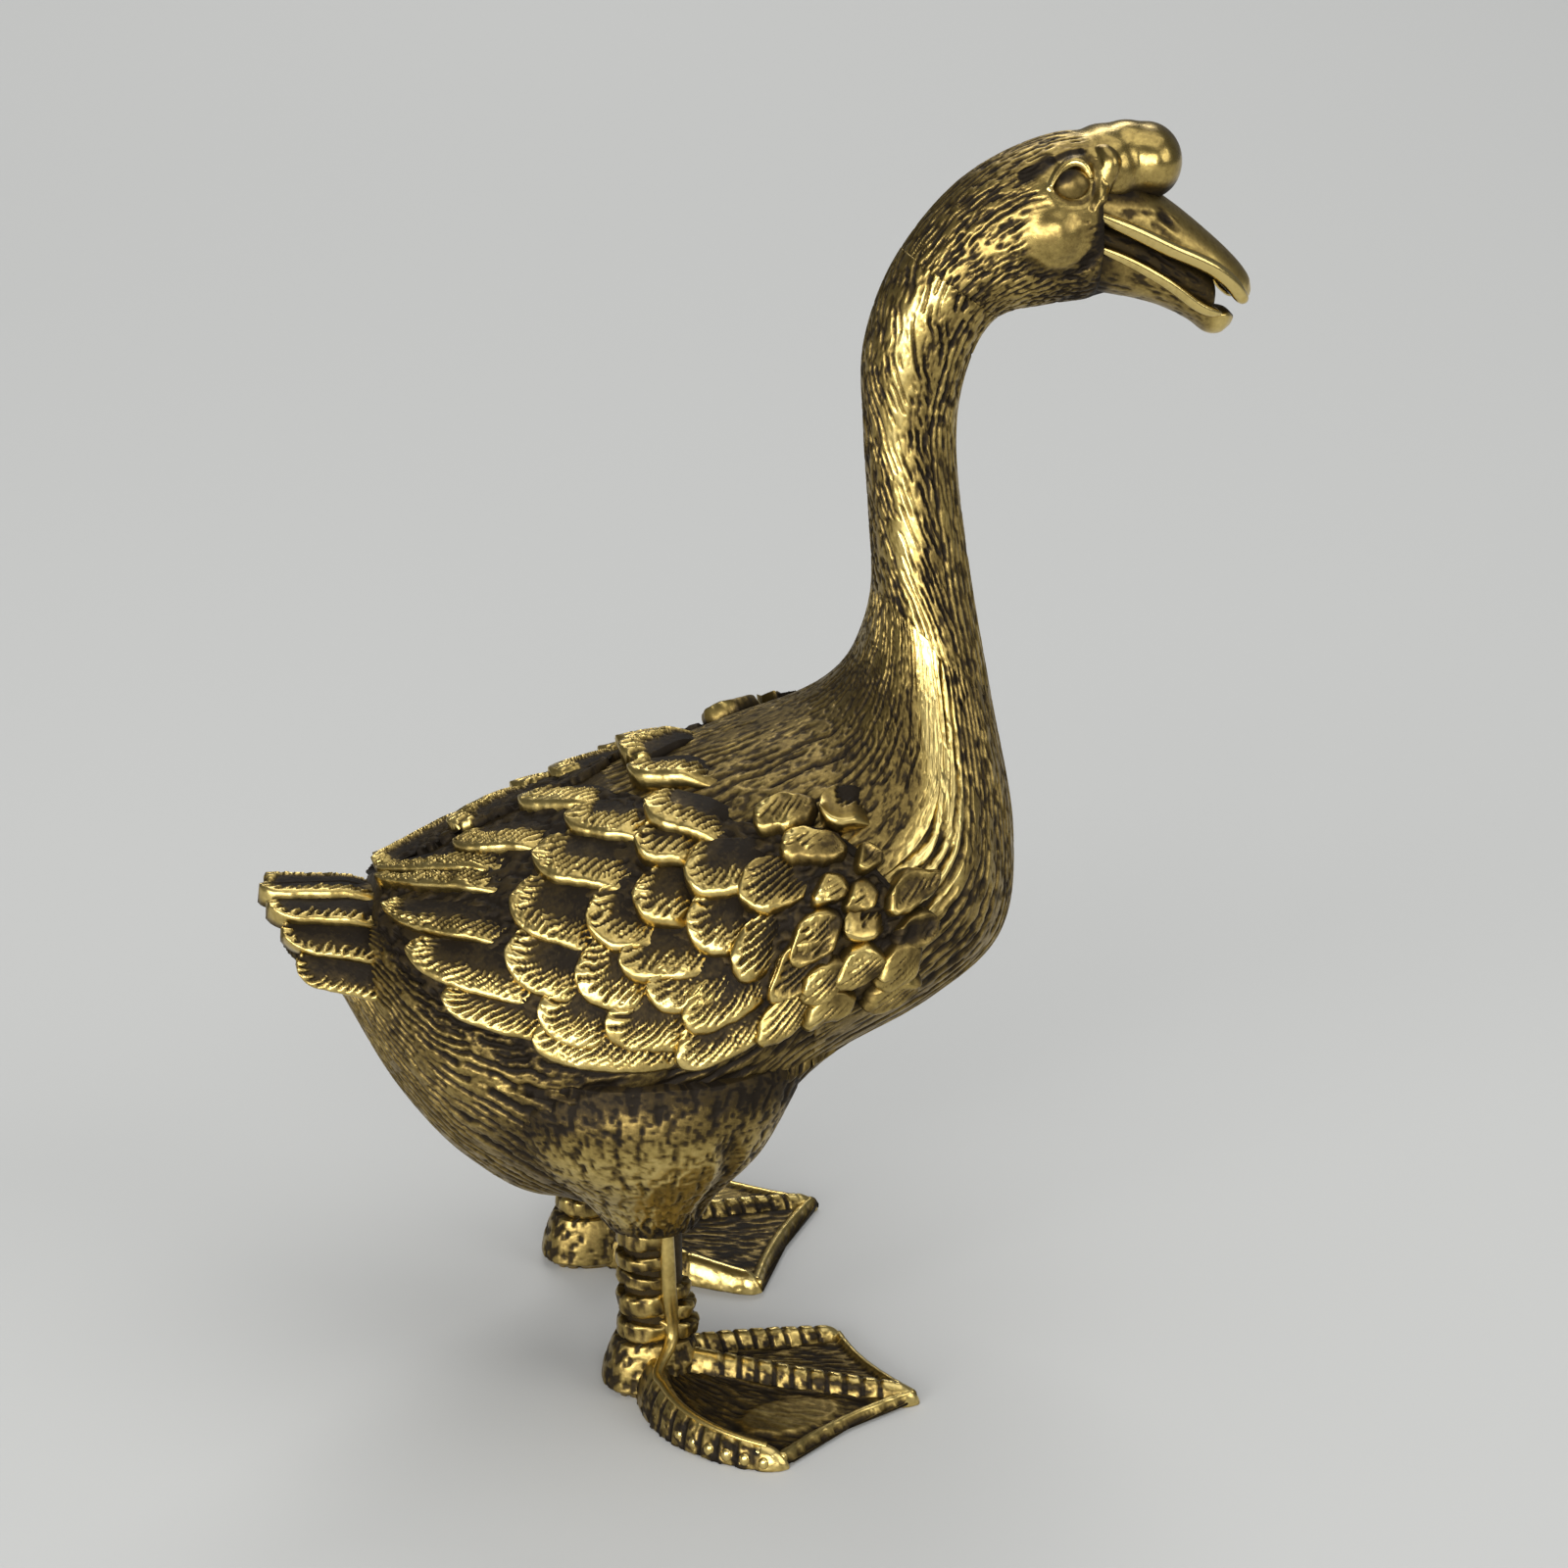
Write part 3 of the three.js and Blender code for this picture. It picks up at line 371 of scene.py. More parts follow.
def brass_finish(name, mottle, grain, bump):
    """Brass with patina; each finish has its own mottling, grain and surface bump."""
    material = bpy.data.materials.new(name)
    material.use_nodes = True
    tree = material.node_tree
    shader = tree.nodes["Principled BSDF"]
    shader.inputs["Specular IOR Level"].default_value = 0.25
    patina = tree.nodes.new("ShaderNodeGroup")
    patina.node_tree = PATINA
    patina.inputs["Mottle"].default_value = mottle
    patina.inputs["Grain"].default_value = grain
    for label in ("Relief", "Polish"):
        value = tree.nodes.new("ShaderNodeAttribute")
        value.attribute_name = label.lower()
        tree.links.new(value.outputs["Fac"], patina.inputs[label])
    for given, taken in (("Colour", "Base Color"), ("Roughness", "Roughness"), ("Metal", "Metallic")):
        tree.links.new(patina.outputs[given], shader.inputs[taken])
    raise_grain = tree.nodes.new("ShaderNodeBump")
    raise_grain.inputs["Strength"].default_value = bump
    raise_grain.inputs["Distance"].default_value = 0.05 * MM
    tree.links.new(patina.outputs["Height"], raise_grain.inputs["Height"])
    tree.links.new(raise_grain.outputs["Normal"], shader.inputs["Normal"])
    return material


chased_brass = brass_finish("chased_brass", 0.5, 0.4, 0.25)


def sink(tree, given, cut, result):
    """Ends a tree that cuts into a skin: the cut goes in along the normal, and its bottom is darker."""
    normal = made(tree, "GeometryNodeInputNormal", output="Normal")
    values = {"Geometry": given["Geometry"], "Offset": stretch(tree, normal, cut * given["Depth"] * -MM)}
    moved = made(tree, "GeometryNodeSetPosition", values)
    stored = store(tree, moved, "relief", named(tree, "relief") - cut * given["Darkening"])
    finish_tree(tree, stored, given["Material"], result)


def make_strokes():
    """Graver strokes: short cuts that run with the plumage, sunk into the skin where the mask asks."""
    tree, given, result = shape_tree("graver strokes", (
        ("Mask", "String", "strokes"), ("Stroke length", "Float", 3.0), ("Stroke width", "Float", 0.5),
        ("Depth", "Float", 0.15), ("Cut share", "Float", 0.5), ("Darkening", "Float", 0.6),
        ("Seed", "Float", 0.0), ("Material", "Material", None)))
    along, side, up = parts_of(tree, named(tree, "plumage", "FLOAT_VECTOR"))
    mask = named(tree, given["Mask"])
    place = vector_of(tree, along / given["Stroke length"] + given["Seed"], side / given["Stroke width"],
                      up / given["Stroke width"])
    field = noise(tree, place, 1.0, 1.5, 0.5)
    streak = 1 - field.step(given["Cut share"] - 0.09, given["Cut share"] + 0.07)
    sink(tree, given, streak * mask, result)
    return tree


STROKES = make_strokes()


def make_hatching():
    """Engraved lines that run with the plumage side by side, waver a little and break off."""
    tree, given, result = shape_tree("engraved lines", (
        ("Mask", "String", "strokes"), ("Spacing", "Float", 3.0), ("Waver", "Float", 0.6),
        ("Waver length", "Float", 5.0), ("Line length", "Float", 4.0), ("Gap share", "Float", 0.45),
        ("Fineness", "Float", 0.5), ("Slant", "Float", 0.0), ("Depth", "Float", 0.12),
        ("Darkening", "Float", 0.5), ("Seed", "Float", 0.0), ("Material", "Material", None)))
    along, side, up = parts_of(tree, named(tree, "plumage", "FLOAT_VECTOR"))
    mask = named(tree, given["Mask"])
    bend_long = given["Waver length"]
    bend_place = vector_of(tree, along / bend_long + given["Seed"], side / bend_long, up / bend_long)
    bend = noise(tree, bend_place, 1.0, 2.0)
    around = up.math("ARCTAN2", up, side).call("ABSOLUTE") * (180 / math.pi) + along * given["Slant"]
    lane = around / given["Spacing"] + (bend - 0.5) * 2 * given["Waver"]
    beat = (lane * (2 * math.pi)).call("COSINE") * 0.5 + 0.5
    groove = beat.step(given["Fineness"], given["Fineness"] + 0.4)
    own = lane.call("ROUND")
    line_place = vector_of(tree, along / given["Line length"] + own * 7.3 + given["Seed"], own * 1.7, 0.5)
    kept = noise(tree, line_place, 1.0, 1.0)
    cut = groove * kept.step(given["Gap share"] - 0.06, given["Gap share"] + 0.06) * mask
    sink(tree, given, cut, result)
    return tree


HATCHING = make_hatching()


def cut_strokes(piece, mask, long, wide, depth, share, dark, seed, finish=chased_brass):
    shape_by(piece, STROKES, {"Mask": mask, "Stroke length": long, "Stroke width": wide, "Depth": depth,
                              "Cut share": share, "Darkening": dark, "Seed": seed, "Material": finish})


def engrave(piece, mask, spacing, waver, waver_length, line_length, gap, fineness, depth, dark, seed,
            slant=0.0):
    shape_by(piece, HATCHING, {"Mask": mask, "Spacing": spacing, "Waver": waver, "Waver length": waver_length,
                               "Line length": line_length, "Gap share": gap, "Fineness": fineness,
                               "Depth": depth, "Darkening": dark, "Seed": seed, "Slant": slant,
                               "Material": chased_brass})


# Millimetres of plumage to one section.
LIMB = 4.6


def plumage(rung, turn):
    """Coordinates that run with the plumage: along the body, and round it on the mean radius."""
    row = smooth(BODY, rung)
    depth = np.hypot(row[..., 0] - row[..., 2], row[..., 1] - row[..., 3])
    radius = depth / 4 + row[..., 4] / 2
    return np.stack([LIMB * rung, radius * np.cos(turn), radius * np.sin(turn)], -1)


def uneven(spans):
    """Steps of differing closeness: (from, to, count) one after another."""
    return np.concatenate([np.linspace(a, b, count, endpoint=False) for a, b, count in spans])


# Each section of a thigh: height above the knee, centre ahead of the shank and out from it, half length and
# half width.
THIGH = np.array([(0, 0, 0, 2.2, 2.0), (1.8, 0, 0.3, 3.2, 2.8), (4.2, -0.1, 1.0, 5.2, 3.8),
                  (6.8, -0.1, 1.4, 6.2, 4.2), (9, 0.3, 0.6, 6.4, 4.1)])
THIGH_TOP, THIGH_FILLET = 8.6, 2.4
LEG_BEHIND, LEG_OUT, LEG_DROP, STRIDE = 2.7, 7.0, 10.9, 0.7
hip = smooth(BODY, 4.0)
KNEE = (hip[1] + hip[3]) / 2 - LEG_DROP


def leg_place(side):
    return (hip[0] + hip[2]) / 2 - LEG_BEHIND - side * STRIDE, MIDLINE + side * LEG_OUT


def thigh_gap(points):
    """Distance from points of the skin to the nearer thigh, about."""
    up = points[..., 2] - KNEE
    row = smooth(THIGH, np.interp(up, THIGH[:, 0], np.arange(5)))
    gaps = []
    for side in (-1, 1):
        x, y = leg_place(side)
        round_it = np.hypot((points[..., 0] - x - row[..., 1]) / row[..., 3],
                            (points[..., 1] - y - side * row[..., 2]) / row[..., 4])
        gaps.append((round_it - 1) * row[..., 4])
    return np.where(up < THIGH_TOP, np.minimum(*gaps), 9.0)


def thigh_crease(points):
    return ease(thigh_gap(points), 1.3, 0.1)


def body_skin(name, rungs, degrees, under=None, fillet=0.0):
    """Part of the body's skin between two sections, with its plumage coordinates. Under gives the rung and
    the degrees where it passes below another skin, fillet the size of the soft join with the thighs."""
    rung, turn = lattice(rungs, np.radians(degrees))
    round_from_back = np.abs(np.degrees(turn))
    points = section_point(BODY, rung, turn)
    row = smooth(BODY, rung)
    middle = np.stack([(row[..., 0] + row[..., 2]) / 2, 0 * rung + MIDLINE,
                       (row[..., 1] + row[..., 3]) / 2], -1)
    outward = (points - middle) / np.linalg.norm(points - middle, axis=-1, keepdims=True)
    if under:
        covered = ease(rung, under[0], under[0] + 0.3) * ease(round_from_back, under[1], under[1] - 8)
        points -= 0.7 * covered[..., None] * outward
    if fillet:
        near = np.clip(1 - np.abs(thigh_gap(points)) / fillet, 0, 1)
        points += fillet / 4 * near[..., None] ** 2 * outward
    piece = sheet_piece(name, points)
    keep_value(piece, "plumage", plumage(rung, turn))
    return piece, points, rung, round_from_back


# Lower edge of the wing in degrees at each section, from the tail root on.
WING_HEM = (50, 74, 82, 89, 98, 106, 103)
hind_degrees = uneven(((-180, -70, 170), (-70, -14, 28), (-14, 14, 30), (14, 70, 28), (70, 180, 170)))
hind, points, rung, degrees = body_skin("torso_hind", np.linspace(0, 5.05, 210), hind_degrees,
                                        under=(3.2, 74), fillet=THIGH_FILLET)
hem = np.interp(rung, np.arange(7), WING_HEM)
open_skin = ease(degrees, hem - 8, hem + 1)
crease = thigh_crease(points)
# The band just below the wing's lower edge is darker: painted shade of the wing; it also takes more fine
# strokes. The skin under the wing and in the crease with the thigh is darker as well.
hem_shade_band = open_skin * ease(degrees, hem + 14, hem + 2)
keep_value(hind, "relief", 0.3 + 0.31 * open_skin - 0.2 * hem_shade_band - 0.25 * crease)
keep_value(hind, "strokes", open_skin)
keep_value(hind, "fine", 0.4 + 0.6 * hem_shade_band)
engrave(hind, "strokes", spacing=4.4, waver=1.5, waver_length=3.0, line_length=1.7, gap=0.42, fineness=0.42,
        depth=0.17, dark=0.5, seed=3.0)
cut_strokes(hind, "fine", long=0.7, wide=0.2, depth=0.07, share=0.45, dark=0.4, seed=9.0)
fit(hind, "torso", closed=True)


def wear_and_sheen_flow(rung, degrees):
    """Rubbed polish and a painted sheen that run from the side of the neck down over the shoulder."""
    middle = np.interp(rung, (6, 9), (84, 68))
    return ease(np.abs(degrees - middle), 21, 8) * ease(rung, 5.8, 6.5)


mantle, points, rung, degrees = body_skin("torso_mantle", np.linspace(3.2, NECK_RUNG + 0.05, 230),
                                          np.linspace(-72, 72, 350))
wear_and_sheen = wear_and_sheen_flow(rung, degrees)
# Brighter along the flow: rubbed polish and a painted sheen.
keep_value(mantle, "relief", 0.54 + 0.1 * ease(rung, 7.4, 8.6) + 0.5 * wear_and_sheen)
keep_value(mantle, "lines", (0.55 + 0.45 * ease(degrees, 72, 40)) * (1 - 0.6 * wear_and_sheen))
keep_value(mantle, "fine", 0.55 - 0.3 * wear_and_sheen)
engrave(mantle, "lines", spacing=3.2, waver=1.7, waver_length=6.0, line_length=4.0, gap=0.47, fineness=0.45,
        depth=0.13, dark=0.36, seed=5.0)
cut_strokes(mantle, "fine", long=0.8, wide=0.25, depth=0.07, share=0.45, dark=0.5, seed=2.0)
fit(mantle, "torso", closed=True)

breast, points, rung, degrees = body_skin("torso_breast", np.linspace(4.95, NECK_RUNG + 0.05, 215),
                                          np.linspace(70, 290, 330), fillet=THIGH_FILLET)
degrees = np.minimum(degrees, 360 - degrees)
wear_and_sheen = wear_and_sheen_flow(rung, degrees)
crease = thigh_crease(points)
# Brighter along the flow: rubbed polish and a painted sheen; darker in the crease with the thigh.
keep_value(breast, "relief", 0.6 + 0.52 * wear_and_sheen - 0.25 * crease)
keep_value(breast, "lines", 1 - 0.7 * wear_and_sheen)
keep_value(breast, "fine", 0.75 - 0.35 * wear_and_sheen)
keep_value(breast, "folds", wear_and_sheen)
engrave(breast, "folds", spacing=6.5, waver=0.9, waver_length=5.0, line_length=3.2, gap=0.46, fineness=0.5,
        depth=0.3, dark=0.75, seed=12.0)
engrave(breast, "lines", spacing=5.0, waver=1.3, waver_length=7.0, line_length=5.0, gap=0.45, fineness=0.4,
        depth=0.26, dark=0.62, seed=1.0)
cut_strokes(breast, "fine", long=1.3, wide=0.3, depth=0.08, share=0.44, dark=0.5, seed=8.0)
fit(breast, "torso", closed=True)

# Thighs: swellings of the torso's brass casting that narrow to a cuff over each shank, with a fold down the
# front. The patina is rubbed off in patches, and the skin is darker at its top under the wing and in the
# creases.


def form_of(piece):
    """Shape of a piece, for finding places on it."""
    mesh = piece.data
    return BVHTree.FromPolygons([v.co for v in mesh.vertices], [p.vertices for p in mesh.polygons])


rung, turn = lattice(np.linspace(0.5, 8, 90), np.radians(np.arange(0, 360, 3)))
plain_torso = sheet_piece("plain_torso", section_point(BODY, rung, turn))
torso_form = form_of(plain_torso)
bpy.data.objects.remove(plain_torso)


def torso_gap(points):
    """Distance from points to the plain torso, less than nothing inside it."""
    gaps = []
    for spot in points.reshape(-1, 3) * MM:
        place, normal, _, away = torso_form.find_nearest(Vector(spot))
        gaps.append(math.copysign(away, (Vector(spot) - place).dot(normal)) / MM)
    return np.array(gaps).reshape(points.shape[:-1])


for name, side in (("right", -1), ("left", 1)):
    x, y = leg_place(side)
    step, turn = lattice(np.linspace(-0.06, 4, 140), np.radians(np.arange(-180, 180, 1.6)))
    row = smooth(THIGH, step)
    up = row[..., 0]
    fold_turn = side * np.radians(np.interp(up, (0, 6), (38, 58)))
    fold = ease(np.abs(turn - fold_turn) * row[..., 4], 0.8, 0.1) * ease(up, 0.2, 1.2) * ease(up, 7.0, 5.0)
    outward = np.stack([np.cos(turn), np.sin(turn), 0 * turn], -1)
    reach = np.stack([row[..., 3] * np.cos(turn), row[..., 4] * np.sin(turn), 0 * turn], -1)
    points = reach + np.stack([x + row[..., 1], y + side * row[..., 2], KNEE + up], -1)
    gap = torso_gap(points)
    near = np.clip(1 - np.abs(gap) / THIGH_FILLET, 0, 1)
    points += (THIGH_FILLET / 4 * near ** 2 - 0.3 * fold)[..., None] * outward
    thigh = sheet_piece(name + "_thigh", points[:, ::-1])
    rubbed = ease(np.abs(turn - side * np.radians(100)), 1.4, 0.6) * ease(up, 7.4, 5.0)
    relief = 0.7 + 0.26 * rubbed - 0.3 * fold - 0.5 * ease(up, 1.0, 0.0) - 0.2 * ease(up, 5.5, 7.2)
    keep_value(thigh, "plumage", np.stack([up, reach[..., 0], reach[..., 1]], -1)[:, ::-1])
    keep_value(thigh, "relief", (relief - 0.25 * ease(gap, 1.2, 0.2))[:, ::-1])
    keep_value(thigh, "strokes", 0.9)
    cut_strokes(thigh, "strokes", long=1.7, wide=0.32, depth=0.09, share=0.42, dark=0.5, seed=7.0 + side)
    cut_strokes(thigh, "strokes", long=0.35, wide=0.26, depth=0.05, share=0.43, dark=0.45, seed=2.0 + side)
    fit(thigh, "torso", closed=True)

# Neck: a brass casting of its own, set on the torso with a hidden dowel and brazed. It is cut all over with
# broken strokes that run up to the head, deepest at the sides.
neck, points, rung, degrees = body_skin("neck_skin", np.linspace(NECK_RUNG - 0.05, HEAD_RUNG + 0.06, 250),
                                        np.arange(0, 360, 1.5) - 180)
throat = ease(degrees, 92, 112)
# A band down the side of the neck is brighter and has fewer strokes: rubbed polish and a painted highlight.
polish_and_sheen = np.exp(-((degrees - 62 - 6 * np.sin(rung * 5)) / 15) ** 2)
keep_value(neck, "relief", 0.6 + 0.4 * polish_and_sheen + 0.1 * throat)
keep_value(neck, "throat", throat)
keep_value(neck, "nape", (1 - throat) * (1 - 0.4 * polish_and_sheen))
keep_value(neck, "fine", 0.85 - 0.6 * polish_and_sheen)
engrave(neck, "throat", spacing=9.0, waver=0.9, waver_length=5.0, line_length=4.5, gap=0.42, fineness=0.42,
        depth=0.2, dark=0.6, seed=1.0)
engrave(neck, "nape", spacing=9.0, waver=1.2, waver_length=3.0, line_length=1.3, gap=0.49, fineness=0.5,
        slant=8.0, depth=0.17, dark=0.6, seed=3.0)
cut_strokes(neck, "fine", long=0.8, wide=0.2, depth=0.06, share=0.45, dark=0.45, seed=4.0)
fit(neck, "neck", closed=True)

# Head: a brass casting dowelled to the neck. It has a smooth forehead knob of two lobes, round cheeks, lids
# and folds round the eyes, and short strokes over the crown and nape that fade out toward the face.
top = smooth(BODY, 16.0)
face = smooth(BODY, 15.0)
face_x, face_z = (face[0] + face[2]) / 2, (face[1] + face[3]) / 2
# Centre x, y, z and half sizes long, wide, high: front lobe, crest and back lobe of the knob, then cheeks.
LOBES = [(top[0] + 0.85, 0, top[1] - 0.45, 1.62, 2.25, 1.8),
         (top[0] - 0.15, 0, top[1] - 0.48, 1.9, 1.95, 1.94),
         (top[0] - 1.25, 0, top[1] - 0.7, 1.8, 2.5, 2.0)]
LOBES += [(face_x - 1.5, side * 2.2, face_z - 0.35, 1.7, 1.75, 1.65) for side in (-1, 1)]
EYE_X, EYE_Y, EYE_Z = section_point(BODY, 14.82, -math.radians(60.8)) + (0.1, 0, 0.12)
EYE_OUT = MIDLINE - EYE_Y


def ball_points(x, y, z, long, wide, high, rows, columns):
    tilt, turn = lattice(np.linspace(0.001, math.pi - 0.001, rows),
                         np.linspace(0, 2 * math.pi, columns, endpoint=False))
    return np.stack([x + long * np.sin(tilt) * np.cos(turn), MIDLINE + y - wide * np.sin(tilt) * np.sin(turn),
                     z + high * np.cos(tilt)], -1)


def spots_of(piece):
    spots = np.empty(len(piece.data.vertices) * 3)
    piece.data.vertices.foreach_get("co", spots)
    return spots.reshape(-1, 3) / MM


def place_spots(piece, spots):
    piece.data.vertices.foreach_set("co", (spots * MM).ravel())
    piece.data.update()


def join(pieces, name):
    """Joins pieces into the first one."""
    with bpy.context.temp_override(active_object=pieces[0], selected_editable_objects=pieces):
        bpy.ops.object.join()
    pieces[0].name = name
    return pieces[0]


def cast_as_one(piece, voxel, softening):
    """Makes one skin of joined pieces and softens the places where they meet."""
    remesh = piece.modifiers.new("one casting", "REMESH")
    remesh.mode = "VOXEL"
    remesh.voxel_size = voxel * MM
    blend = piece.modifiers.new("soft joins", "SMOOTH")
    blend.factor = 0.5
    blend.iterations = softening
    settle(piece)


def make_ridge():
    """A rounded line of metal along a path, as thick as its points ask."""
    tree, given, result = shape_tree("raised line", (
        ("Steps", "Int", 60), ("Sides", "Int", 12), ("Relief", "Float", 0.9), ("Material", "Material", None)))
    curve = made(tree, "GeometryNodeMeshToCurve", {"Mesh": given["Geometry"]})
    soft = made(tree, "GeometryNodeCurveSplineType", {"Curve": curve}, spline_type="CATMULL_ROM")
    spaced = made(tree, "GeometryNodeResampleCurve", {"Curve": soft, "Count": given["Steps"]})
    profile = made(tree, "GeometryNodeCurvePrimitiveCircle", {"Resolution": given["Sides"], "Radius": MM})
    swept = made(tree, "GeometryNodeCurveToMesh", {
        "Curve": spaced, "Profile Curve": profile, "Scale": named(tree, "girth"), "Fill Caps": True})
    finish_tree(tree, store(tree, swept, "relief", given["Relief"]), given["Material"], result)
    return tree


RIDGE = make_ridge()


def path_piece(name, points, girths):
    """A path of points in millimetres with a thickness at each."""
    piece = mesh_piece(name, points, edges=[(i, i + 1) for i in range(len(points) - 1)])
    keep_value(piece, "girth", np.array(girths, float))
    return piece


def ridge_piece(name, points, girths, relief, material, steps=60):
    piece = path_piece(name, points, girths)
    shape_by(piece, RIDGE, {"Steps": steps, "Relief": relief, "Material": material})
    settle(piece)
    return piece


def near_path(spots, side, path):
    """Distance in side view from each spot to a path round the eye, on one side of the head."""
    ahead, up = spots[:, 0] - EYE_X, spots[:, 2] - EYE_Z
    far = 99.0
    best = np.full(len(spots), far)
    for (ax, az), (bx, bz) in zip(path[:-1], path[1:]):
        run = (bx - ax) ** 2 + (bz - az) ** 2
        t = np.clip(((ahead - ax) * (bx - ax) + (up - az) * (bz - az)) / run, 0, 1)
        best = np.minimum(best, np.hypot(ahead - ax - t * (bx - ax), up - az - t * (bz - az)))
    return np.where((spots[:, 1] - MIDLINE) * side > 0.8, best, far)


guide_skin = body_skin("skull_guide", np.linspace(HEAD_RUNG - 0.06, 16.0, 70), np.arange(0, 360, 4) - 180)[0]
rung, turn = lattice(np.linspace(HEAD_RUNG, 15.3, 60), np.radians(np.arange(0, 360, 4)))
skull = sheet_piece("skull", section_point(BODY, rung, turn))
rung, turn = lattice(np.linspace(14.8, 16.05, 20), np.radians(np.arange(0, 360, 6)))
muzzle_points = section_point(BODY, rung, turn)
muzzle_points[..., 1] = MIDLINE + (muzzle_points[..., 1] - MIDLINE) * 0.6
muzzle = sheet_piece("muzzle", muzzle_points)
lobes = [sheet_piece("lobe", ball_points(*lobe, 30, 44)) for lobe in LOBES]
head = join([skull, muzzle] + lobes, "head_skin")
cast_as_one(head, 0.11, 34)
# Places round the eye, in millimetres ahead of and above it.
EYE_SPOT = ((-0.1, 0.0), (0.1, 0.0))
UPPER_LID = ((-1.15, -0.1), (-0.75, 0.38), (-0.32, 0.72), (0.12, 0.9), (0.55, 0.72), (0.82, 0.22))
LOWER_LID = ((-1.2, 0.1), (-0.85, -0.55), (-0.2, -0.85), (0.45, -0.7), (0.78, -0.2), (0.75, 0.3))
FRONT_FOLD = ((1.25, 1.4), (1.58, 1.25), (1.8, 0.85), (1.72, 0.35), (1.45, -0.2), (1.12, -0.8), (0.88, -1.3))
HIND_GROOVE = ((-2.2, 0.25), (-1.55, 0.62), (-0.95, 0.95))
BROW_GROOVE = ((-0.95, 0.9), (-0.4, 1.12), (0.1, 1.28), (0.6, 1.3))
FOLD_GROOVE = ((0.6, 1.3), (1.05, 0.9), (1.12, 0.3), (0.98, -0.4), (0.75, -1.0))
CHEEK_GROOVE = ((-2.2, -3.5), (-1.3, -4.1), (-0.2, -4.1), (0.8, -3.5))
MOUTH_CREASE = ((1.35, -1.1), (1.35, -1.7), (1.25, -2.3), (1.0, -3.0), (0.6, -3.6))
spots = spots_of(head)
for side in (-1, 1):
    away = near_path(spots, side, EYE_SPOT)
    spots[:, 1] -= side * 0.24 * ease(away, 1.15, 0.75)
place_spots(head, spots)
head_form = form_of(head)


def on_face(side, ahead, up, sunk=0.0):
    """Point of the face beside the eye."""
    begin = Vector((EYE_X + ahead, MIDLINE + side * 9, EYE_Z + up)) * MM
    hit = head_form.ray_cast(begin, Vector((0, -side, 0)))[0] / MM
    return (hit[0], hit[1] - side * sunk, hit[2])


# Path, thickness at each of its points, and how deep it lies in the face.
FOLDS = (("upper_lid", UPPER_LID, (0.1, 0.2, 0.26, 0.28, 0.25, 0.12), -0.16),
         ("lower_lid", LOWER_LID, (0.08, 0.14, 0.14, 0.14, 0.12, 0.06), 0.06),
         ("front_fold", FRONT_FOLD, (0.1, 0.36, 0.5, 0.48, 0.42, 0.34, 0.12), 0.16))
# Path, width, depth and darkness.
GROOVES = ((HIND_GROOVE, 0.34, 0.18, 0.55), (BROW_GROOVE, 0.17, 0.12, 0.5), (FOLD_GROOVE, 0.2, 0.08, 0.25),
           (CHEEK_GROOVE, 0.5, 0.12, 0.25), (MOUTH_CREASE, 0.45, 0.14, 0.45))
folds = []
for side in (-1, 1):
    for label, path, girths, sunk in FOLDS:
        points = [on_face(side, *place, sunk) for place in path]
        folds.append(ridge_piece(label, points, girths, 0.9, chased_brass))
head = join([head] + folds, "head_skin")
cast_as_one(head, 0.075, 4)
spots = spots_of(head)
relief = np.full(len(spots), 0.68)
for side in (-1, 1):
    for path, width, depth, dark in GROOVES:
        cut = ease(near_path(spots, side, path), width, width * 0.3)
        spots[:, 1] -= side * depth * cut
        relief -= dark * cut
    socket = near_path(spots, side, EYE_SPOT)
    relief -= 0.3 * ease(np.abs(socket - 0.8), 0.16, 0.05)
    # The upper lid is brighter: rubbed metal on the raised lid and a painted highlight along it.
    relief += 0.3 * ease(near_path(spots, side, UPPER_LID), 0.26, 0.12)
place_spots(head, spots)
bare = np.ones(len(spots))
for x, y, z, long, wide, high in LOBES:
    away = (spots - (x, MIDLINE + y, z)) / (long, wide, high)
    bare = np.minimum(bare, ease(np.linalg.norm(away, axis=1), 1.0, 1.35))
for side in (-1, 1):
    bare = np.minimum(bare, ease(near_path(spots, side, EYE_SPOT), 1.3, 2.0))
    bare = np.minimum(bare, ease(near_path(spots, side, FRONT_FOLD), 0.3, 0.7))
# Painted shadow of the knob: the face under its overhang is darker. The muzzle, the throat and the bill's
# root are darker too.
muzzle_dark = ease(spots[:, 0], face_x + 0.6, face_x + 1.2) * ease(spots[:, 2], top[1] - 1.4, top[1] - 2.4)
throat_dark = ease(spots[:, 2], face_z - 1.2, face_z - 2.6) * ease(spots[:, 0], face_x - 2.0, face_x + 0.5)
knob_shadow = ease(spots[:, 2], top[1] - 1.0, top[1] - 1.6) * ease(spots[:, 0], top[0] - 0.9, top[0] - 0.2)
bill_root = ease(spots[:, 0], EYE_X + 1.05, EYE_X + 1.6) * ease(spots[:, 2], EYE_Z - 1.2, EYE_Z - 1.8)
keep_value(head, "relief", relief - 0.75 * muzzle_dark - 0.25 * throat_dark - 0.05 * bare
           - 0.4 * np.maximum(knob_shadow, bill_root))
keep_value(head, "strokes", bare * ease(spots[:, 0], face_x + 1.4, face_x - 0.6))
keep_value(head, "polish", 1 - bare)


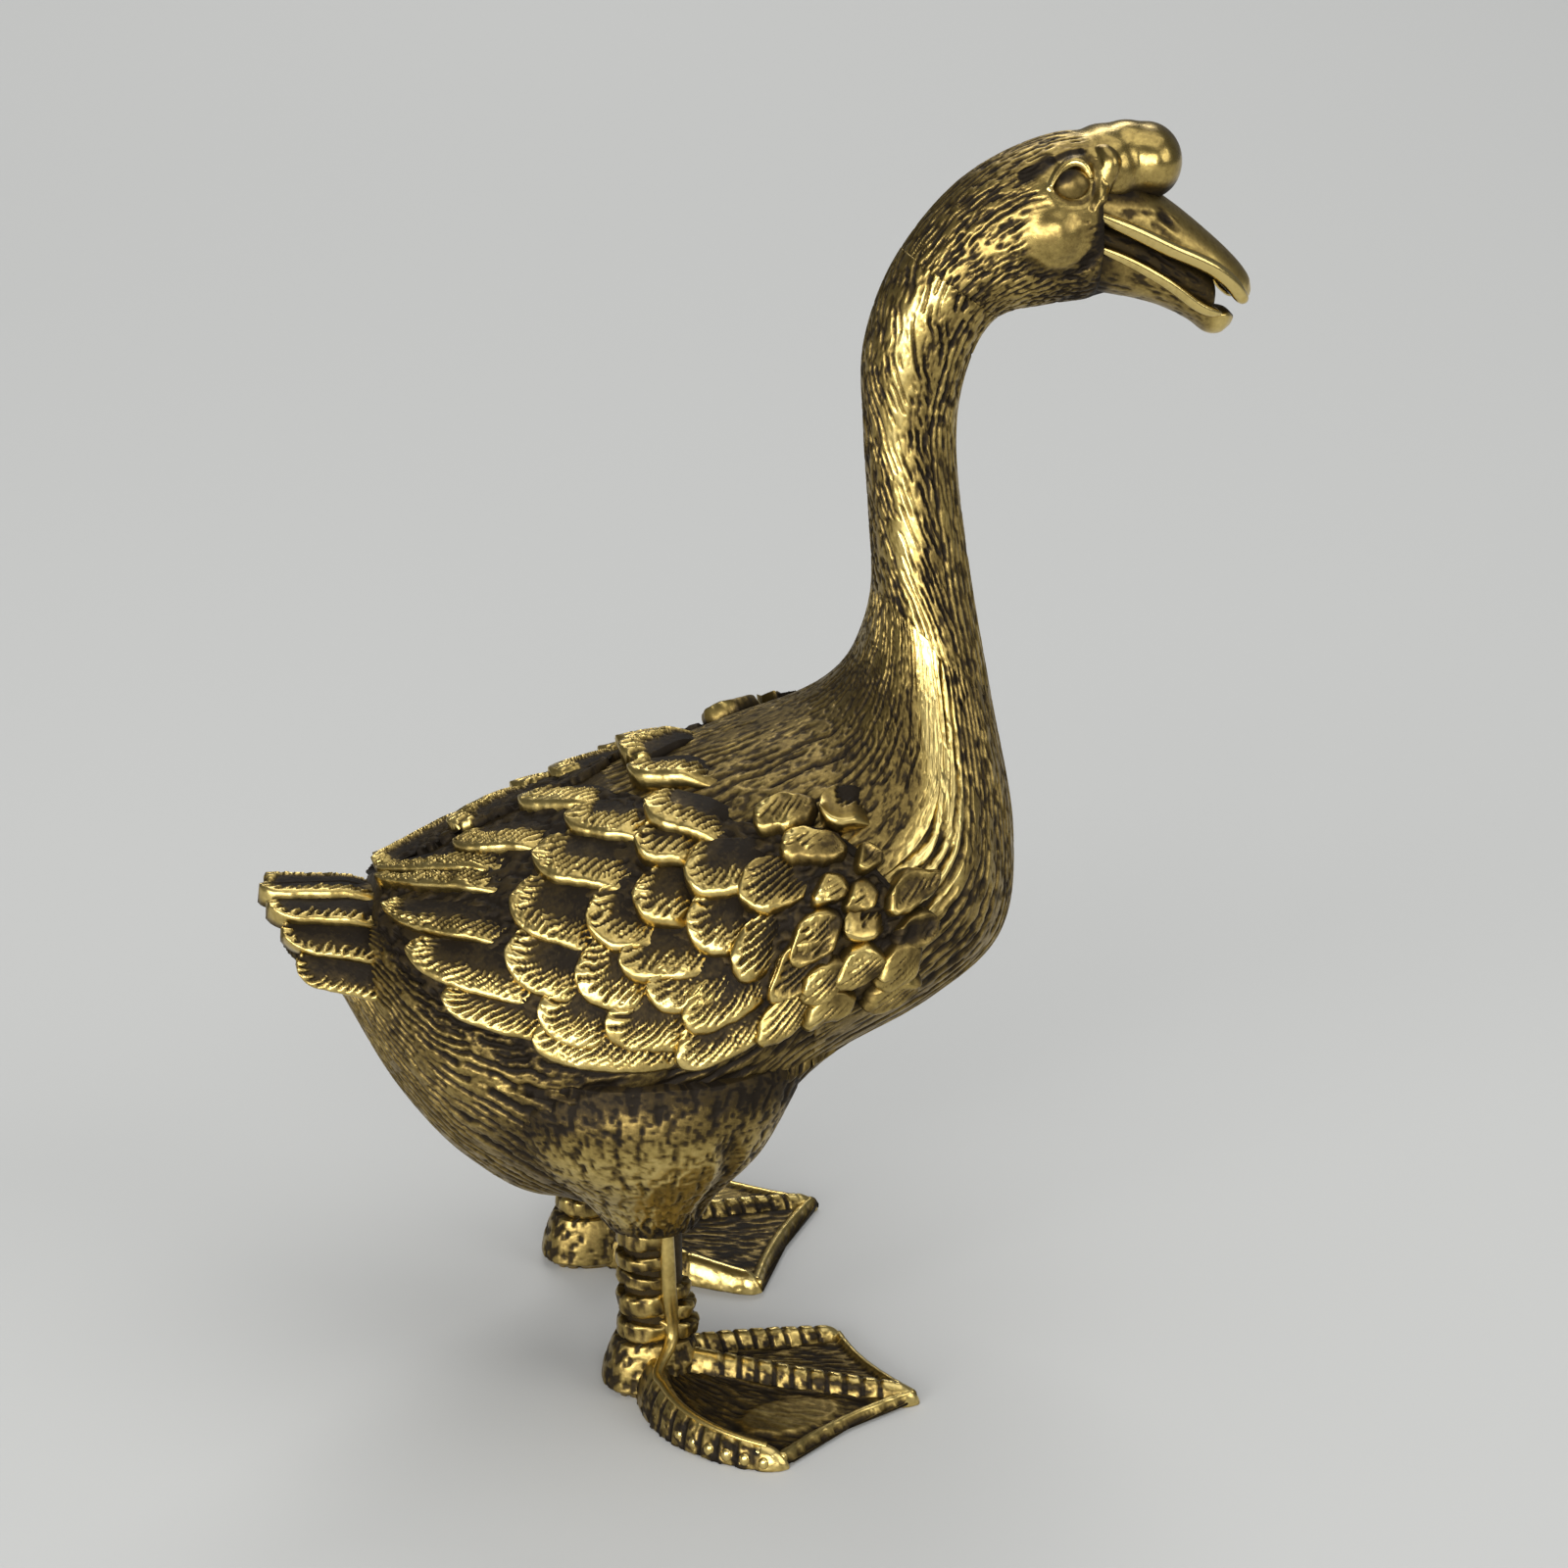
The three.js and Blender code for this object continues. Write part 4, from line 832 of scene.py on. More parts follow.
def make_follow():
    """Takes the plumage coordinates of the nearest place on a plainer skin."""
    tree, given, result = shape_tree("follow the skin", (
        ("Guide", "Object", None), ("Material", "Material", None)))
    guide = made(tree, "GeometryNodeObjectInfo", {"Object": given["Guide"]}, "Geometry")
    values = {"Mesh": guide, "Value": named(tree, "plumage", "FLOAT_VECTOR")}
    nearest = made(tree, "GeometryNodeSampleNearestSurface", values, "Value", data_type="FLOAT_VECTOR")
    stored = store(tree, given["Geometry"], "plumage", nearest, "FLOAT_VECTOR")
    finish_tree(tree, stored, given["Material"], result)
    return tree


FOLLOW = make_follow()
shape_by(head, FOLLOW, {"Guide": guide_skin, "Material": chased_brass})
engrave(head, "strokes", spacing=5.5, waver=1.2, waver_length=2.4, line_length=0.9, gap=0.48, fineness=0.5,
        depth=0.09, dark=0.5, seed=6.0)
cut_strokes(head, "strokes", long=0.8, wide=0.2, depth=0.06, share=0.46, dark=0.45, seed=2.0)
fit(head, "head", closed=True)
bpy.data.objects.remove(guide_skin)

# Eyes: turned brass beads, each on a pin let into its socket. They are smooth and dull with patina, and carry
# a painted shadow of the upper lid across their top.
polished_brass = brass_finish("polished_brass", 0.5, 0.35, 0.2)
EYE_HALF = (0.88, 0.64, 0.8)
EYE_SUNK = 0.5
for name, side in (("right_eye", -1), ("left_eye", 1)):
    eye_points = ball_points(EYE_X - 0.04, side * (EYE_OUT - EYE_SUNK), EYE_Z - 0.16, *EYE_HALF, 40, 60)
    eye = sheet_piece(name + "_bead", eye_points)
    spots = spots_of(eye)
    # Painted shadow of the upper lid over the bead's top.
    keep_value(eye, "relief", 0.46 - 0.35 * ease(spots[:, 2] - EYE_Z - 0.6 * (spots[:, 0] - EYE_X), 0.2, 0.7))
    keep_value(eye, "polish", 1.0)
    eye.data.materials.append(polished_brass)
    close_shells(eye)
    seat(eye, name)

# Bill: two brass castings let into the face on tenons, parted at the tip, with a dark tongue filling the
# mouth. The biting edges are rolled outward and rubbed bright.
bill_x, bill_z = (top[0] + top[2]) / 2, (top[1] + top[3]) / 2
# Ridge and biting edge of each section, ahead of and above the bill's root, and half width.
UPPER_BILL = np.array(((-2.3, 2.5, -2.3, 0.7, 2.9), (0.3, 2.2, -0.1, -0.45, 2.6),
                       (2.35, 0.95, 1.8, -1.35, 2.25), (4.3, -0.6, 3.8, -2.15, 1.8),
                       (5.55, -1.75, 5.0, -3.0, 1.4), (6.25, -2.6, 5.65, -3.75, 1.0),
                       (6.45, -3.2, 6.15, -3.85, 0.5)))
LOWER_BILL = np.array(((-2.3, 0.0, -2.3, -3.0, 2.6), (0.0, -1.15, -0.1, -3.4, 2.2),
                       (1.95, -2.4, 1.8, -3.9, 1.9), (3.5, -3.6, 3.35, -4.65, 1.5),
                       (4.5, -4.0, 4.25, -5.3, 1.2), (5.2, -4.15, 4.9, -5.4, 0.95),
                       (5.6, -4.5, 5.35, -5.15, 0.45)))
TONGUE = np.array(((-2.3, 1.1, -2.3, -1.0, 2.4), (0.2, 0.0, 0.0, -1.9, 2.15), (2.0, -0.9, 1.8, -3.0, 1.8),
                   (3.6, -1.75, 3.5, -4.0, 1.35), (4.3, -2.3, 4.4, -4.4, 1.05), (4.6, -2.9, 4.6, -4.0, 0.6)))
UPPER_LOW, LOWER_LOW, TONGUE_LOW = 0.2, 0.75, 0.5
for table in (UPPER_BILL, LOWER_BILL, TONGUE):
    table += (bill_x, bill_z, bill_x, bill_z, 0)
for name, table, low, node in (("upper_bill", UPPER_BILL, UPPER_LOW, "upper_bill"),
                               ("lower_bill", LOWER_BILL, LOWER_LOW, "lower_bill"),
                               ("tongue", TONGUE, TONGUE_LOW, "lower_bill")):
    last = len(table) - 1
    rung, turn = lattice(np.linspace(0, last, 120), np.radians(np.arange(0, 360, 3)))
    degrees = np.abs(np.degrees(np.arctan2(np.sin(turn), np.cos(turn))))
    points = section_point(table, rung, turn, low)
    if name == "upper_bill":
        relief = 0.66 + 0.25 * ease(rung, 4.2, 5) - 0.6 * ease(degrees, 114, 126)
        # Painted shadow of the knob over the top of the bill's root.
        relief -= 0.5 * ease(rung, 1.5, 0.9) * ease(degrees, 75, 45)
        nostril = np.hypot((rung - 1.75) / 0.3, (degrees - 58) / 9)
        points[..., 1] -= np.sign(np.sin(turn)) * 0.25 * ease(nostril, 1.0, 0.3)
        relief -= 0.6 * ease(nostril, 1.1, 0.4)
    elif name == "lower_bill":
        relief = 0.6 + 0.3 * ease(rung, 3.6, 4.5) - 0.6 * ease(degrees, 60, 48) - 0.35 * ease(rung, 1.0, 0.3)
    else:
        relief = 0.3 + 0 * rung
    piece = sheet_piece(name + "_casting", points)
    keep_value(piece, "plumage", np.stack([rung * 1.8, 2 * np.cos(turn), 2 * np.sin(turn)], -1))
    keep_value(piece, "relief", relief)
    keep_value(piece, "strokes", ease(rung, 4.0, 2.5) if node == "lower_bill" else 0.8 * ease(rung, 3.0, 1.5))
    cut_strokes(piece, "strokes", long=0.7, wide=0.35, depth=0.05, share=0.42, dark=0.4, seed=3.0,
                finish=polished_brass)
    fit(piece, node)
for name, table, low, lip_turn, from_rung, to_rung, girth in (
        ("upper_bill", UPPER_BILL, UPPER_LOW, 100, 0.0, 5.7, 0.38),
        ("lower_bill", LOWER_BILL, LOWER_LOW, 70, 0.1, 4.4, 0.29)):
    for side in (-1, 1):
        rung = np.linspace(from_rung, to_rung, 12)
        points = section_point(table, rung, np.full(12, math.radians(side * lip_turn)), low)
        points[:, 1] += side * 0.1 * girth
        girths = girth * np.sqrt(np.clip(1 - np.linspace(-1, 1, 12) ** 4, 0.08, 1))
        lip = ridge_piece("%s_lip" % name, points, girths, 0.98, polished_brass, 80)
        keep_value(lip, "polish", 1.0)
        close_shells(lip)
        seat(lip, name)

# Wings: one brass casting to a side, pegged and brazed on. Each is a thin plate under rows of feathers that
# overlap toward the tail; every feather has a raised bright rim on its lower edge and barbs cut in from it.
# Away from its rim each feather is painted darker, as in the shade of the feather that overlaps it.
WING_LONG = np.linspace(-0.6, 7.2, 200, endpoint=False)
flank = section_point(BODY, WING_LONG, np.full(WING_LONG.shape, -math.pi / 3))
wing_run = np.concatenate([[0], np.cumsum(np.linalg.norm(np.diff(flank, axis=0), axis=1))])
WING_PER_DEGREE = 0.17
WING_FRAME = 64.0


def wing_place(rung, degrees):
    """Place on the wing's flat pattern, in millimetres along and down."""
    return np.interp(rung, WING_LONG, wing_run), np.asarray(degrees) * WING_PER_DEGREE


def form_sheet(name, points, across, down):
    """Plain sheet with a flat pattern, on which feathers are laid."""
    form = sheet_piece(name, points, closed=False)
    layer = form.data.uv_layers.new(name="pattern")
    corners = np.empty(len(form.data.loops), int)
    form.data.loops.foreach_get("vertex_index", corners)
    flat = np.stack([across.ravel(), down.ravel()], -1)[corners]
    layer.data.foreach_set("uv", (flat / WING_FRAME + 0.25).astype(np.float32).ravel())
    form.data.shade_smooth()
    return form


rung, degrees = lattice(np.linspace(-0.55, 7.1, 150), np.linspace(-40, 150, 130))
along, down = wing_place(rung, degrees)
wing_points = section_point(BODY, rung, -np.radians(degrees))
wing_form = form_sheet("wing_form", wing_points[:, ::-1], along[:, ::-1], down[:, ::-1])


def make_feathers():
    """Feathers laid on a form: each starts from its tip and has its own length, width, slant and lift."""
    tree, given, result = shape_tree("laid feathers", (
        ("Form", "Object", None), ("Rows", "Int", 90), ("Columns", "Int", 33), ("Rim width", "Float", 0.3),
        ("Barb spacing", "Float", 0.42), ("Barb depth", "Float", 0.22), ("Barb reach", "Float", 1.7),
        ("Seed", "Float", 0.0), ("Material", "Material", None)))
    blank = made(tree, "GeometryNodeMeshGrid", {
        "Size X": 1.0, "Size Y": 1.0, "Vertices X": given["Rows"], "Vertices Y": given["Columns"]}, "Mesh")
    x, y, _ = parts_of(tree, made(tree, "GeometryNodeInputPosition"))
    for label, value in (("share", x + 0.5), ("across", y * 2)):
        blank = store(tree, blank, label, value)
    laid = made(tree, "GeometryNodeInstanceOnPoints", {"Points": given["Geometry"], "Instance": blank})
    feathers = made(tree, "GeometryNodeRealizeInstances", {"Geometry": laid})
    share, across = named(tree, "share"), named(tree, "across")
    tip_along, tip_down, _ = parts_of(tree, named(tree, "tip", "FLOAT_VECTOR"))
    long, wide, slant = named(tree, "long"), named(tree, "wide"), named(tree, "slant")
    lift, dome, barbs, leaf = (named(tree, label) for label in ("lift", "dome", "barbs", "leaf"))
    side = (across * 1.07).least(1.0).most(-1.0)
    rounding = wide / long * 0.62
    end = 1 - (share / rounding).least(1.0)
    tongue = (1 - end * end).most(0.0).call("SQRT") * (1 - share * 0.22)
    middle = share * 2 - 1
    oval = (1 - middle * middle).most(0.0).call("SQRT") * (1 - middle * 0.18)
    girth = tongue + (oval - tongue) * leaf
    half = wide * 0.5
    along = share * long
    wobble_place = vector_of(tree, tip_along * 3.1 + given["Seed"], along * 0.7, side * half * 0.7 + tip_down)
    wobble = noise(tree, wobble_place, 1.0, 2.0)
    down = side * girth * half + (wobble - 0.5) * (0.3 + leaf * 0.7)
    low_edge = (1 - side) * girth * half
    open_edge = low_edge.least(along + (1 - girth) * 0.2 + side.step(0.0, -0.9) * 0.25)
    round_edge = low_edge.least((1 + side) * girth * half).least(along).least(long - along)
    edge = open_edge + (round_edge - open_edge) * leaf
    rim, reach = given["Rim width"], given["Barb reach"]
    brow = 1 - (edge / rim).least(1.0)
    brow = (1 - brow * brow).most(0.0).call("SQRT")
    fray = noise(tree, vector_of(tree, along * 2.2 + tip_down, tip_along, given["Seed"]), 1.0, 1.0)
    inward = (edge + (fray - 0.5) * 1.1).step(rim * 0.6, reach) * edge.step(rim * 0.7, rim * 1.4)
    beat = (along - low_edge + (wobble - 0.5) * 1.3) / given["Barb spacing"] * (2 * math.pi)
    cut = (beat.call("COSINE") * 0.5 + 0.5) * barbs + inward * (1.15 - leaf * 0.75) - 1
    groove = cut.step(-0.05, 0.22) * (1 - leaf * (1 - wobble.step(0.36, 0.5)))
    rise = across.step(-1.15, 0.6)
    sunk = share.step(0.5, 0.95) * (1 - leaf)
    slope = (1 - share * 0.85) * (0.3 + 0.7 * rise)
    height = 0.45 - 0.9 * sunk + lift * (slope + (0.55 - slope) * leaf) + dome * (1 - side * side) * girth
    dished = noise(tree, vector_of(tree, tip_along * 5.3, tip_down * 4.7, given["Seed"]), 1.0, 0.0)
    dish = edge.step(0.25, 0.75) * dished.step(0.38, 0.58) * leaf
    height = height - groove * given["Barb depth"] - dish * 0.3 + (wobble - 0.5) * (0.16 + leaf * 0.3)
    foot = 0.35 - leaf * 0.25
    height = (height + 0.1) * (foot + (1 - foot) * brow) - 0.1
    skirt = across.call("ABSOLUTE").step(0.97, 0.99)
    skirt = skirt.most(1 - share.step(0.001, 0.004)).most(share.step(0.996, 0.999))
    height = height + (-0.25 - height) * skirt
    slant_cos, slant_sin = slant.call("COSINE"), slant.call("SINE")
    flat_along = tip_along + along * slant_cos - down * slant_sin
    flat_down = tip_down + along * slant_sin + down * slant_cos
    flat = vector_of(tree, flat_along / WING_FRAME + 0.25, flat_down / WING_FRAME + 0.25, 0.0)
    form = made(tree, "GeometryNodeObjectInfo", {"Object": given["Form"]}, output="Geometry")
    found = []
    for kind in ("GeometryNodeInputPosition", "GeometryNodeInputNormal"):
        values = {"Mesh": form, "Value": made(tree, kind)}
        sample = add_node(tree, "GeometryNodeSampleUVSurface", values, data_type="FLOAT_VECTOR")
        pattern = named(tree, "pattern", "FLOAT_VECTOR")
        pattern_socket = next(s for s in sample.inputs if s.name in ("UV Map", "Source UV Map"))
        tree.links.new(pattern.socket, pattern_socket)
        tree.links.new(flat.socket, sample.inputs["Sample UV"])
        found.append(Rule(tree, next(s for s in sample.outputs if s.enabled and s.name == "Value")))
    moved = made(tree, "GeometryNodeSetPosition", {
        "Geometry": feathers, "Position": found[0], "Offset": stretch(tree, found[1], height * MM)})
    # Painted shade: away from its lower rim a feather is darker, most toward its root under the feather over
    # it and on its skirt. Barb grooves and dishes are darker with patina.
    vane = edge.step(reach * 0.7, reach * 1.6) * (1 - leaf)
    relief = 0.86 - groove * 0.65 - vane * 0.18 + (wobble - 0.5) * (0.4 + leaf * 0.9)
    relief = relief - ((1 - brow) * 0.4 + 0.16 + share.step(0.4, 1.0) * 0.25) * leaf - dish * 0.3
    relief = relief - edge.step(rim, rim * 2) * (1 - barbs) * 0.45
    relief = relief - share.step(0.4, 0.95) * 0.25 * (1 - leaf) - skirt * 0.5
    finish_tree(tree, store(tree, moved, "relief", relief), given["Material"], result)
    return tree


FEATHERS = make_feathers()


def lay_feathers(name, form, feathers, values):
    """Piece of laid feathers; each has its place, length, width, slant, lift, dome, barbs and leaf shape."""
    table = np.array(feathers, float)
    tips = np.column_stack([table[:, :2], np.zeros(len(table))])
    piece = mesh_piece(name, tips)
    keep_value(piece, "tip", tips)
    for column, label in enumerate(("long", "wide", "slant", "lift", "dome", "barbs", "leaf"), 2):
        keep_value(piece, label, table[:, column])
    shape_by(piece, FEATHERS, {"Form": form, "Material": chased_brass, **values})
    settle(piece)
    close_shells(piece)
    return piece


def mirror(piece):
    """Turns a piece of one side into that of the other side."""
    spots = spots_of(piece)
    spots[:, 1] = 2 * MIDLINE - spots[:, 1]
    place_spots(piece, spots)


# Tip as rung and degrees round from the back, length, width and slant toward the belly in degrees; the later
# ones overlap the earlier. A covert's last number is its dome, less than nothing where it is hollow.
FLIGHT_FEATHERS = (
    (0.15, 1, 12.0, 2.6, 26), (0.1, 12, 11.6, 2.7, 22), (1.5, 7, 7.2, 2.5, 26), (2.35, -3, 6.6, 2.2, 34),
    (0.3, 38, 10.0, 3.1, 12), (0.8, 57, 9.2, 3.4, 10), (1.35, 71, 7.0, 2.7, 7), (2.75, 16, 6.4, 2.6, 24),
    (2.4, 26, 7.0, 3.2, 24), (2.15, 39, 6.2, 4.0, 24), (2.1, 54, 5.9, 3.9, 22), (2.45, 70, 5.5, 3.1, 18),
    (2.4, 78, 10.0, 2.1, 14), (3.1, 74, 6.4, 2.9, 18), (2.8, 61, 5.5, 3.5, 18),
)
COVERTS = (
    (2.9, 48, 5.3, 3.5, 14, -0.25), (3.4, 32, 4.5, 2.6, 17, 0.1), (3.55, 22, 6.2, 2.6, 30, 0.1),
    (3.45, 5, 5.9, 2.3, 20, 0.1), (3.35, 46, 4.2, 2.9, 20, 0.15), (3.2, 60, 6.4, 2.6, 13, -0.1),
    (3.45, 68, 6.4, 2.7, 16, 0.0), (3.75, 77, 5.3, 2.9, 8, 0.1), (3.7, 86, 6.3, 2.3, 12, 0.0),
    (3.85, 44, 6.2, 3.0, 17, 0.15), (3.85, 55, 4.5, 3.4, 26, 0.1), (4.4, 53, 3.6, 2.5, 30, 0.25),
    (4.25, 68, 3.0, 3.1, 28, 0.2), (4.6, 79, 2.8, 2.7, 35, 0.2), (4.65, 38, 3.6, 2.0, 14, 0.1),
    (4.9, 48, 3.6, 2.0, 34, 0.2), (4.8, 74, 2.4, 2.7, 30, 0.2), (4.8, 88, 2.3, 2.1, 25, 0.2),
    (4.4, 92, 3.2, 2.1, 20, 0.1), (4.8, 97, 2.4, 1.9, 25, 0.2), (5.15, 64, 1.8, 1.6, 45, 0.2),
    (5.15, 89, 2.3, 2.5, 34, 0.2), (5.3, 79, 2.8, 2.3, 18, -0.25), (5.4, 71, 1.7, 1.6, 36, 0.2),
    (5.45, 44, 3.6, 2.4, 22, -0.3), (5.5, 97, 2.0, 2.6, 25, 0.2), (5.65, 62, 1.6, 1.5, 35, 0.2),
    (5.35, 106, 2.4, 2.0, 25, 0.1), (5.8, 78, 2.9, 2.1, 22, 0.2), (5.75, 90, 2.2, 2.0, 28, 0.2),
)


def on_wing(feather, lift):
    """A feather's values for the tree, with its tip on the flat pattern; near the shoulder it stands free."""
    rung, degrees, long, wide, slant, *dome = feather
    along, down = wing_place(rung, degrees)
    dome = dome[0] if dome else 0.05
    leaf = float(ease(rung, 4.1, 4.7)) if dome > 0 else 0.0
    barbs = 0.3 if dome < 0 and rung > 5 else 1.0
    return float(along), float(down), long, wide, math.radians(slant), lift, dome, barbs, leaf


def ridge_ease(degrees, side):
    """Feathers lie flatter near the back."""
    return 0.7 + 0.3 * float(ease(degrees, 4, 24)) if side < 0 else 0.85 + 0.15 * float(ease(degrees, 35, 75))


def fold_under(upper, lower):
    """Rows of an upper face and of its lower face, joined into rings."""
    return np.concatenate([upper, lower[:, ::-1]], 1)


# Upper and lower edge of the plate, from the shoulder to the tail, as rung and degrees.
PLATE_UPPER = np.array([(6.1, 85), (5.6, 54), (4.7, 40), (3.7, 22), (3.0, 6), (2.0, 4), (1.0, 4), (0.15, 4)])
PLATE_LOWER = np.array([(6.1, 85), (5.7, 103), (5.0, 105), (4.2, 96), (3.2, 88), (2.2, 82), (1.2, 75),
                        (0.15, 56)])
PLATE_PROUD, PLATE_SUNK = 0.4, 0.3
for name, side in (("right_wing", -1), ("left_wing", 1)):
    seed = 0.0 if side < 0 else 11.0
    # The right wing lies over the left one where they meet along the back.
    first = -10 if side < 0 else 4
    flight = [on_wing(f, 0.5 * ridge_ease(f[1], side)) for f in FLIGHT_FEATHERS if f[1] > first]
    coverts = [on_wing(f, 0.75 * ridge_ease(f[1], side)) for f in COVERTS if f[1] > first]
    step, across = lattice(np.linspace(0.1, 7, 200), np.linspace(0, 1, 130))
    edge = smooth(PLATE_UPPER, step) * (1 - across)[..., None] + smooth(PLATE_LOWER, step) * across[..., None]
    rung, turn = edge[..., 0], -np.radians(edge[..., 1])
    under = section_point(BODY, rung, turn)
    ahead = section_point(BODY, rung + 0.01, turn) - under
    outward = np.cross(ahead, section_point(BODY, rung, turn + 0.01) - under)
    outward /= np.linalg.norm(outward, axis=-1, keepdims=True)
    points = fold_under(under + PLATE_PROUD * outward, under - PLATE_SUNK * outward)
    plate = sheet_piece(name + "_plate", points)
    keep_value(plate, "plumage", points)
    keep_value(plate, "relief", 0.22)
    keep_value(plate, "crust", 1.0)
    cut_strokes(plate, "crust", long=0.5, wide=0.45, depth=0.16, share=0.5, dark=0.25, seed=seed)
    settle(plate)
    long_ones = lay_feathers(name + "_flight_feathers", wing_form, flight, {"Rows": 92, "Seed": seed})
    short_ones = lay_feathers(name + "_coverts", wing_form, coverts, {
        "Rows": 56, "Rim width": 0.36, "Barb spacing": 0.46, "Barb reach": 1.5, "Seed": seed + 3.0})
    for piece in (plate, long_ones, short_ones):
        if side > 0:
            mirror(piece)
        close_shells(piece)
        seat(piece, name)
bpy.data.objects.remove(wing_form)

# Tail: an arched block of feathers cast by itself in brass and let into the rump on a tenon. Its ridged
# feathers overlap from the middle outward, end bluntly, and leave a bright step at the root.
root = smooth(BODY, 0.0)
TAIL_X, TAIL_Z, TAIL_LONG = root[0] + 1.2, root[1], 7.3
ROOT_HALF, TIP_HALF, ROOT_DROP, TIP_DROP, TAIL_ROUND = 5.0, 4.3, 4.6, 2.9, 4.6


def tail_point(share, turn, inset):
    """Point of the arched tail; turn runs from the middle of its top to its sides."""
    half = ROOT_HALF + (TIP_HALF - ROOT_HALF) * share - inset
    drop = ROOT_DROP + (TIP_DROP - ROOT_DROP) * share - inset
    long = TAIL_LONG * (1 - 0.14 * np.sin(turn) ** 2) - inset
    return np.stack([TAIL_X - long * share, MIDLINE + half * np.sin(turn),
                     TAIL_Z - inset - drop * (1 - np.cos(turn)) + 0.02 * long * share], -1)


share, turn = lattice(np.linspace(0.0, 0.84, 60), np.radians(np.linspace(-84, 84, 90)))
upper = tail_point(share, turn, 0.45)
lower = upper.copy()
lower[..., 2] = np.minimum(upper[..., 2] - 0.3, TAIL_Z - 0.8 * (ROOT_DROP + (TIP_DROP - ROOT_DROP) * share))
points = fold_under(upper, lower)
block = sheet_piece("tail_block", points)
keep_value(block, "plumage", points)
keep_value(block, "relief", 0.45)
keep_value(block, "strokes", 1.0)
cut_strokes(block, "strokes", long=1.2, wide=0.3, depth=0.05, share=0.48, dark=0.4, seed=3.0)
fit(block, "tail_fan")
share, turn = lattice(np.linspace(-0.5, 1.2, 80), np.radians(np.linspace(-120, 120, 90)))
tail_form = form_sheet("tail_form", tail_point(share, turn, 0.5)[:, ::-1],
                       (TAIL_LONG * (1 - share))[:, ::-1], (-TAIL_ROUND * turn)[:, ::-1])
# Feathers of one half, from the side inward: place round the arch, length and width. The middle one lies on
# the right half.
SIDE_FEATHERS = ((6.4, 6.6, 2.5), (4.4, 7.0, 2.5), (2.3, 7.2, 2.5))
MIDDLE_FEATHER = (0.3, 7.3, 2.3)
WHOLE_FEATHER, TAIL_LIFT, TAIL_DOME = 8.2, 0.3, 0.05
for name, side, places in (("right_tail_feathers", -1, SIDE_FEATHERS + (MIDDLE_FEATHER,)),
                           ("left_tail_feathers", 1, SIDE_FEATHERS)):
    laid = [(TAIL_LONG - long, place, WHOLE_FEATHER, wide, 0.0, TAIL_LIFT, TAIL_DOME, 1.0, 0.0)
            for place, long, wide in places]
    tail = lay_feathers(name, tail_form, laid, {"Rows": 70, "Seed": 5.0 + side, "Barb spacing": 0.5,
                                                "Barb reach": 1.1})
    if side > 0:
        mirror(tail)
        close_shells(tail)
    seat(tail, "tail_fan")
bpy.data.objects.remove(tail_form)

# Shanks: brass castings held in the thigh by a spigot. Five rounded rings of scale stand round the back of
# each, three more round the front above the foot, and a strip runs down between them into the ridge of the
# outer toe.
SHANK_LONG, SHANK_WIDE, SHANK_HEIGHT = 1.9, 1.5, 6.1
ANKLE = KNEE - SHANK_HEIGHT
# Each ring's place ahead of the shank and above the ankle, half height, tip forward and spread.
SHANK_SCALES = np.array(((-0.4, 0.6, 0.5, 0.05, 1.0), (-0.4, 2.05, 0.56, -0.07, 1.0),
                         (-0.4, 3.3, 0.36, 0.1, 1.0), (-0.4, 4.3, 0.38, -0.05, 1.0),
                         (-0.4, 5.5, 0.52, 0.04, 1.0), (0.85, 0.7, 0.42, 0.2, 0.95),
                         (0.78, 1.65, 0.4, 0.15, 0.9), (0.68, 2.6, 0.38, 0.2, 0.8)))


def make_rings():
    """Rings of scale round an upright shank, one at each point and as high as the point asks."""
    tree, given, result = shape_tree("shank rings", (
        ("Long", "Float", 1.5), ("Wide", "Float", 1.2), ("Thickness", "Float", 0.4),
        ("Relief", "Float", 0.85), ("Material", "Material", None)))
    circle = made(tree, "GeometryNodeCurvePrimitiveCircle", {"Resolution": 48, "Radius": MM})
    oval = made(tree, "GeometryNodeTransform", {
        "Geometry": circle, "Scale": vector_of(tree, given["Long"], given["Wide"], 1.0)})
    square = made(tree, "GeometryNodeCurvePrimitiveQuadrilateral", {"Width": 2 * MM, "Height": 2 * MM})
    values = {"Curve": square, "Radius": 0.55 * MM, "Count": 5}
    profile = made(tree, "GeometryNodeFilletCurve", values, mode="POLY")
    flat = made(tree, "GeometryNodeTransform", {
        "Geometry": profile, "Scale": vector_of(tree, given["Thickness"], 1.0, 1.0)})
    band = made(tree, "GeometryNodeCurveToMesh", {"Curve": oval, "Profile Curve": flat})
    stack = made(tree, "GeometryNodeInstanceOnPoints", {
        "Points": given["Geometry"], "Instance": band,
        "Scale": vector_of(tree, named(tree, "spread"), named(tree, "spread"), named(tree, "high")),
        "Rotation": vector_of(tree, 0.0, named(tree, "tip"), 0.0)})
    whole = made(tree, "GeometryNodeRealizeInstances", {"Geometry": stack})
    finish_tree(tree, store(tree, whole, "relief", given["Relief"]), given["Material"], result)
    return tree


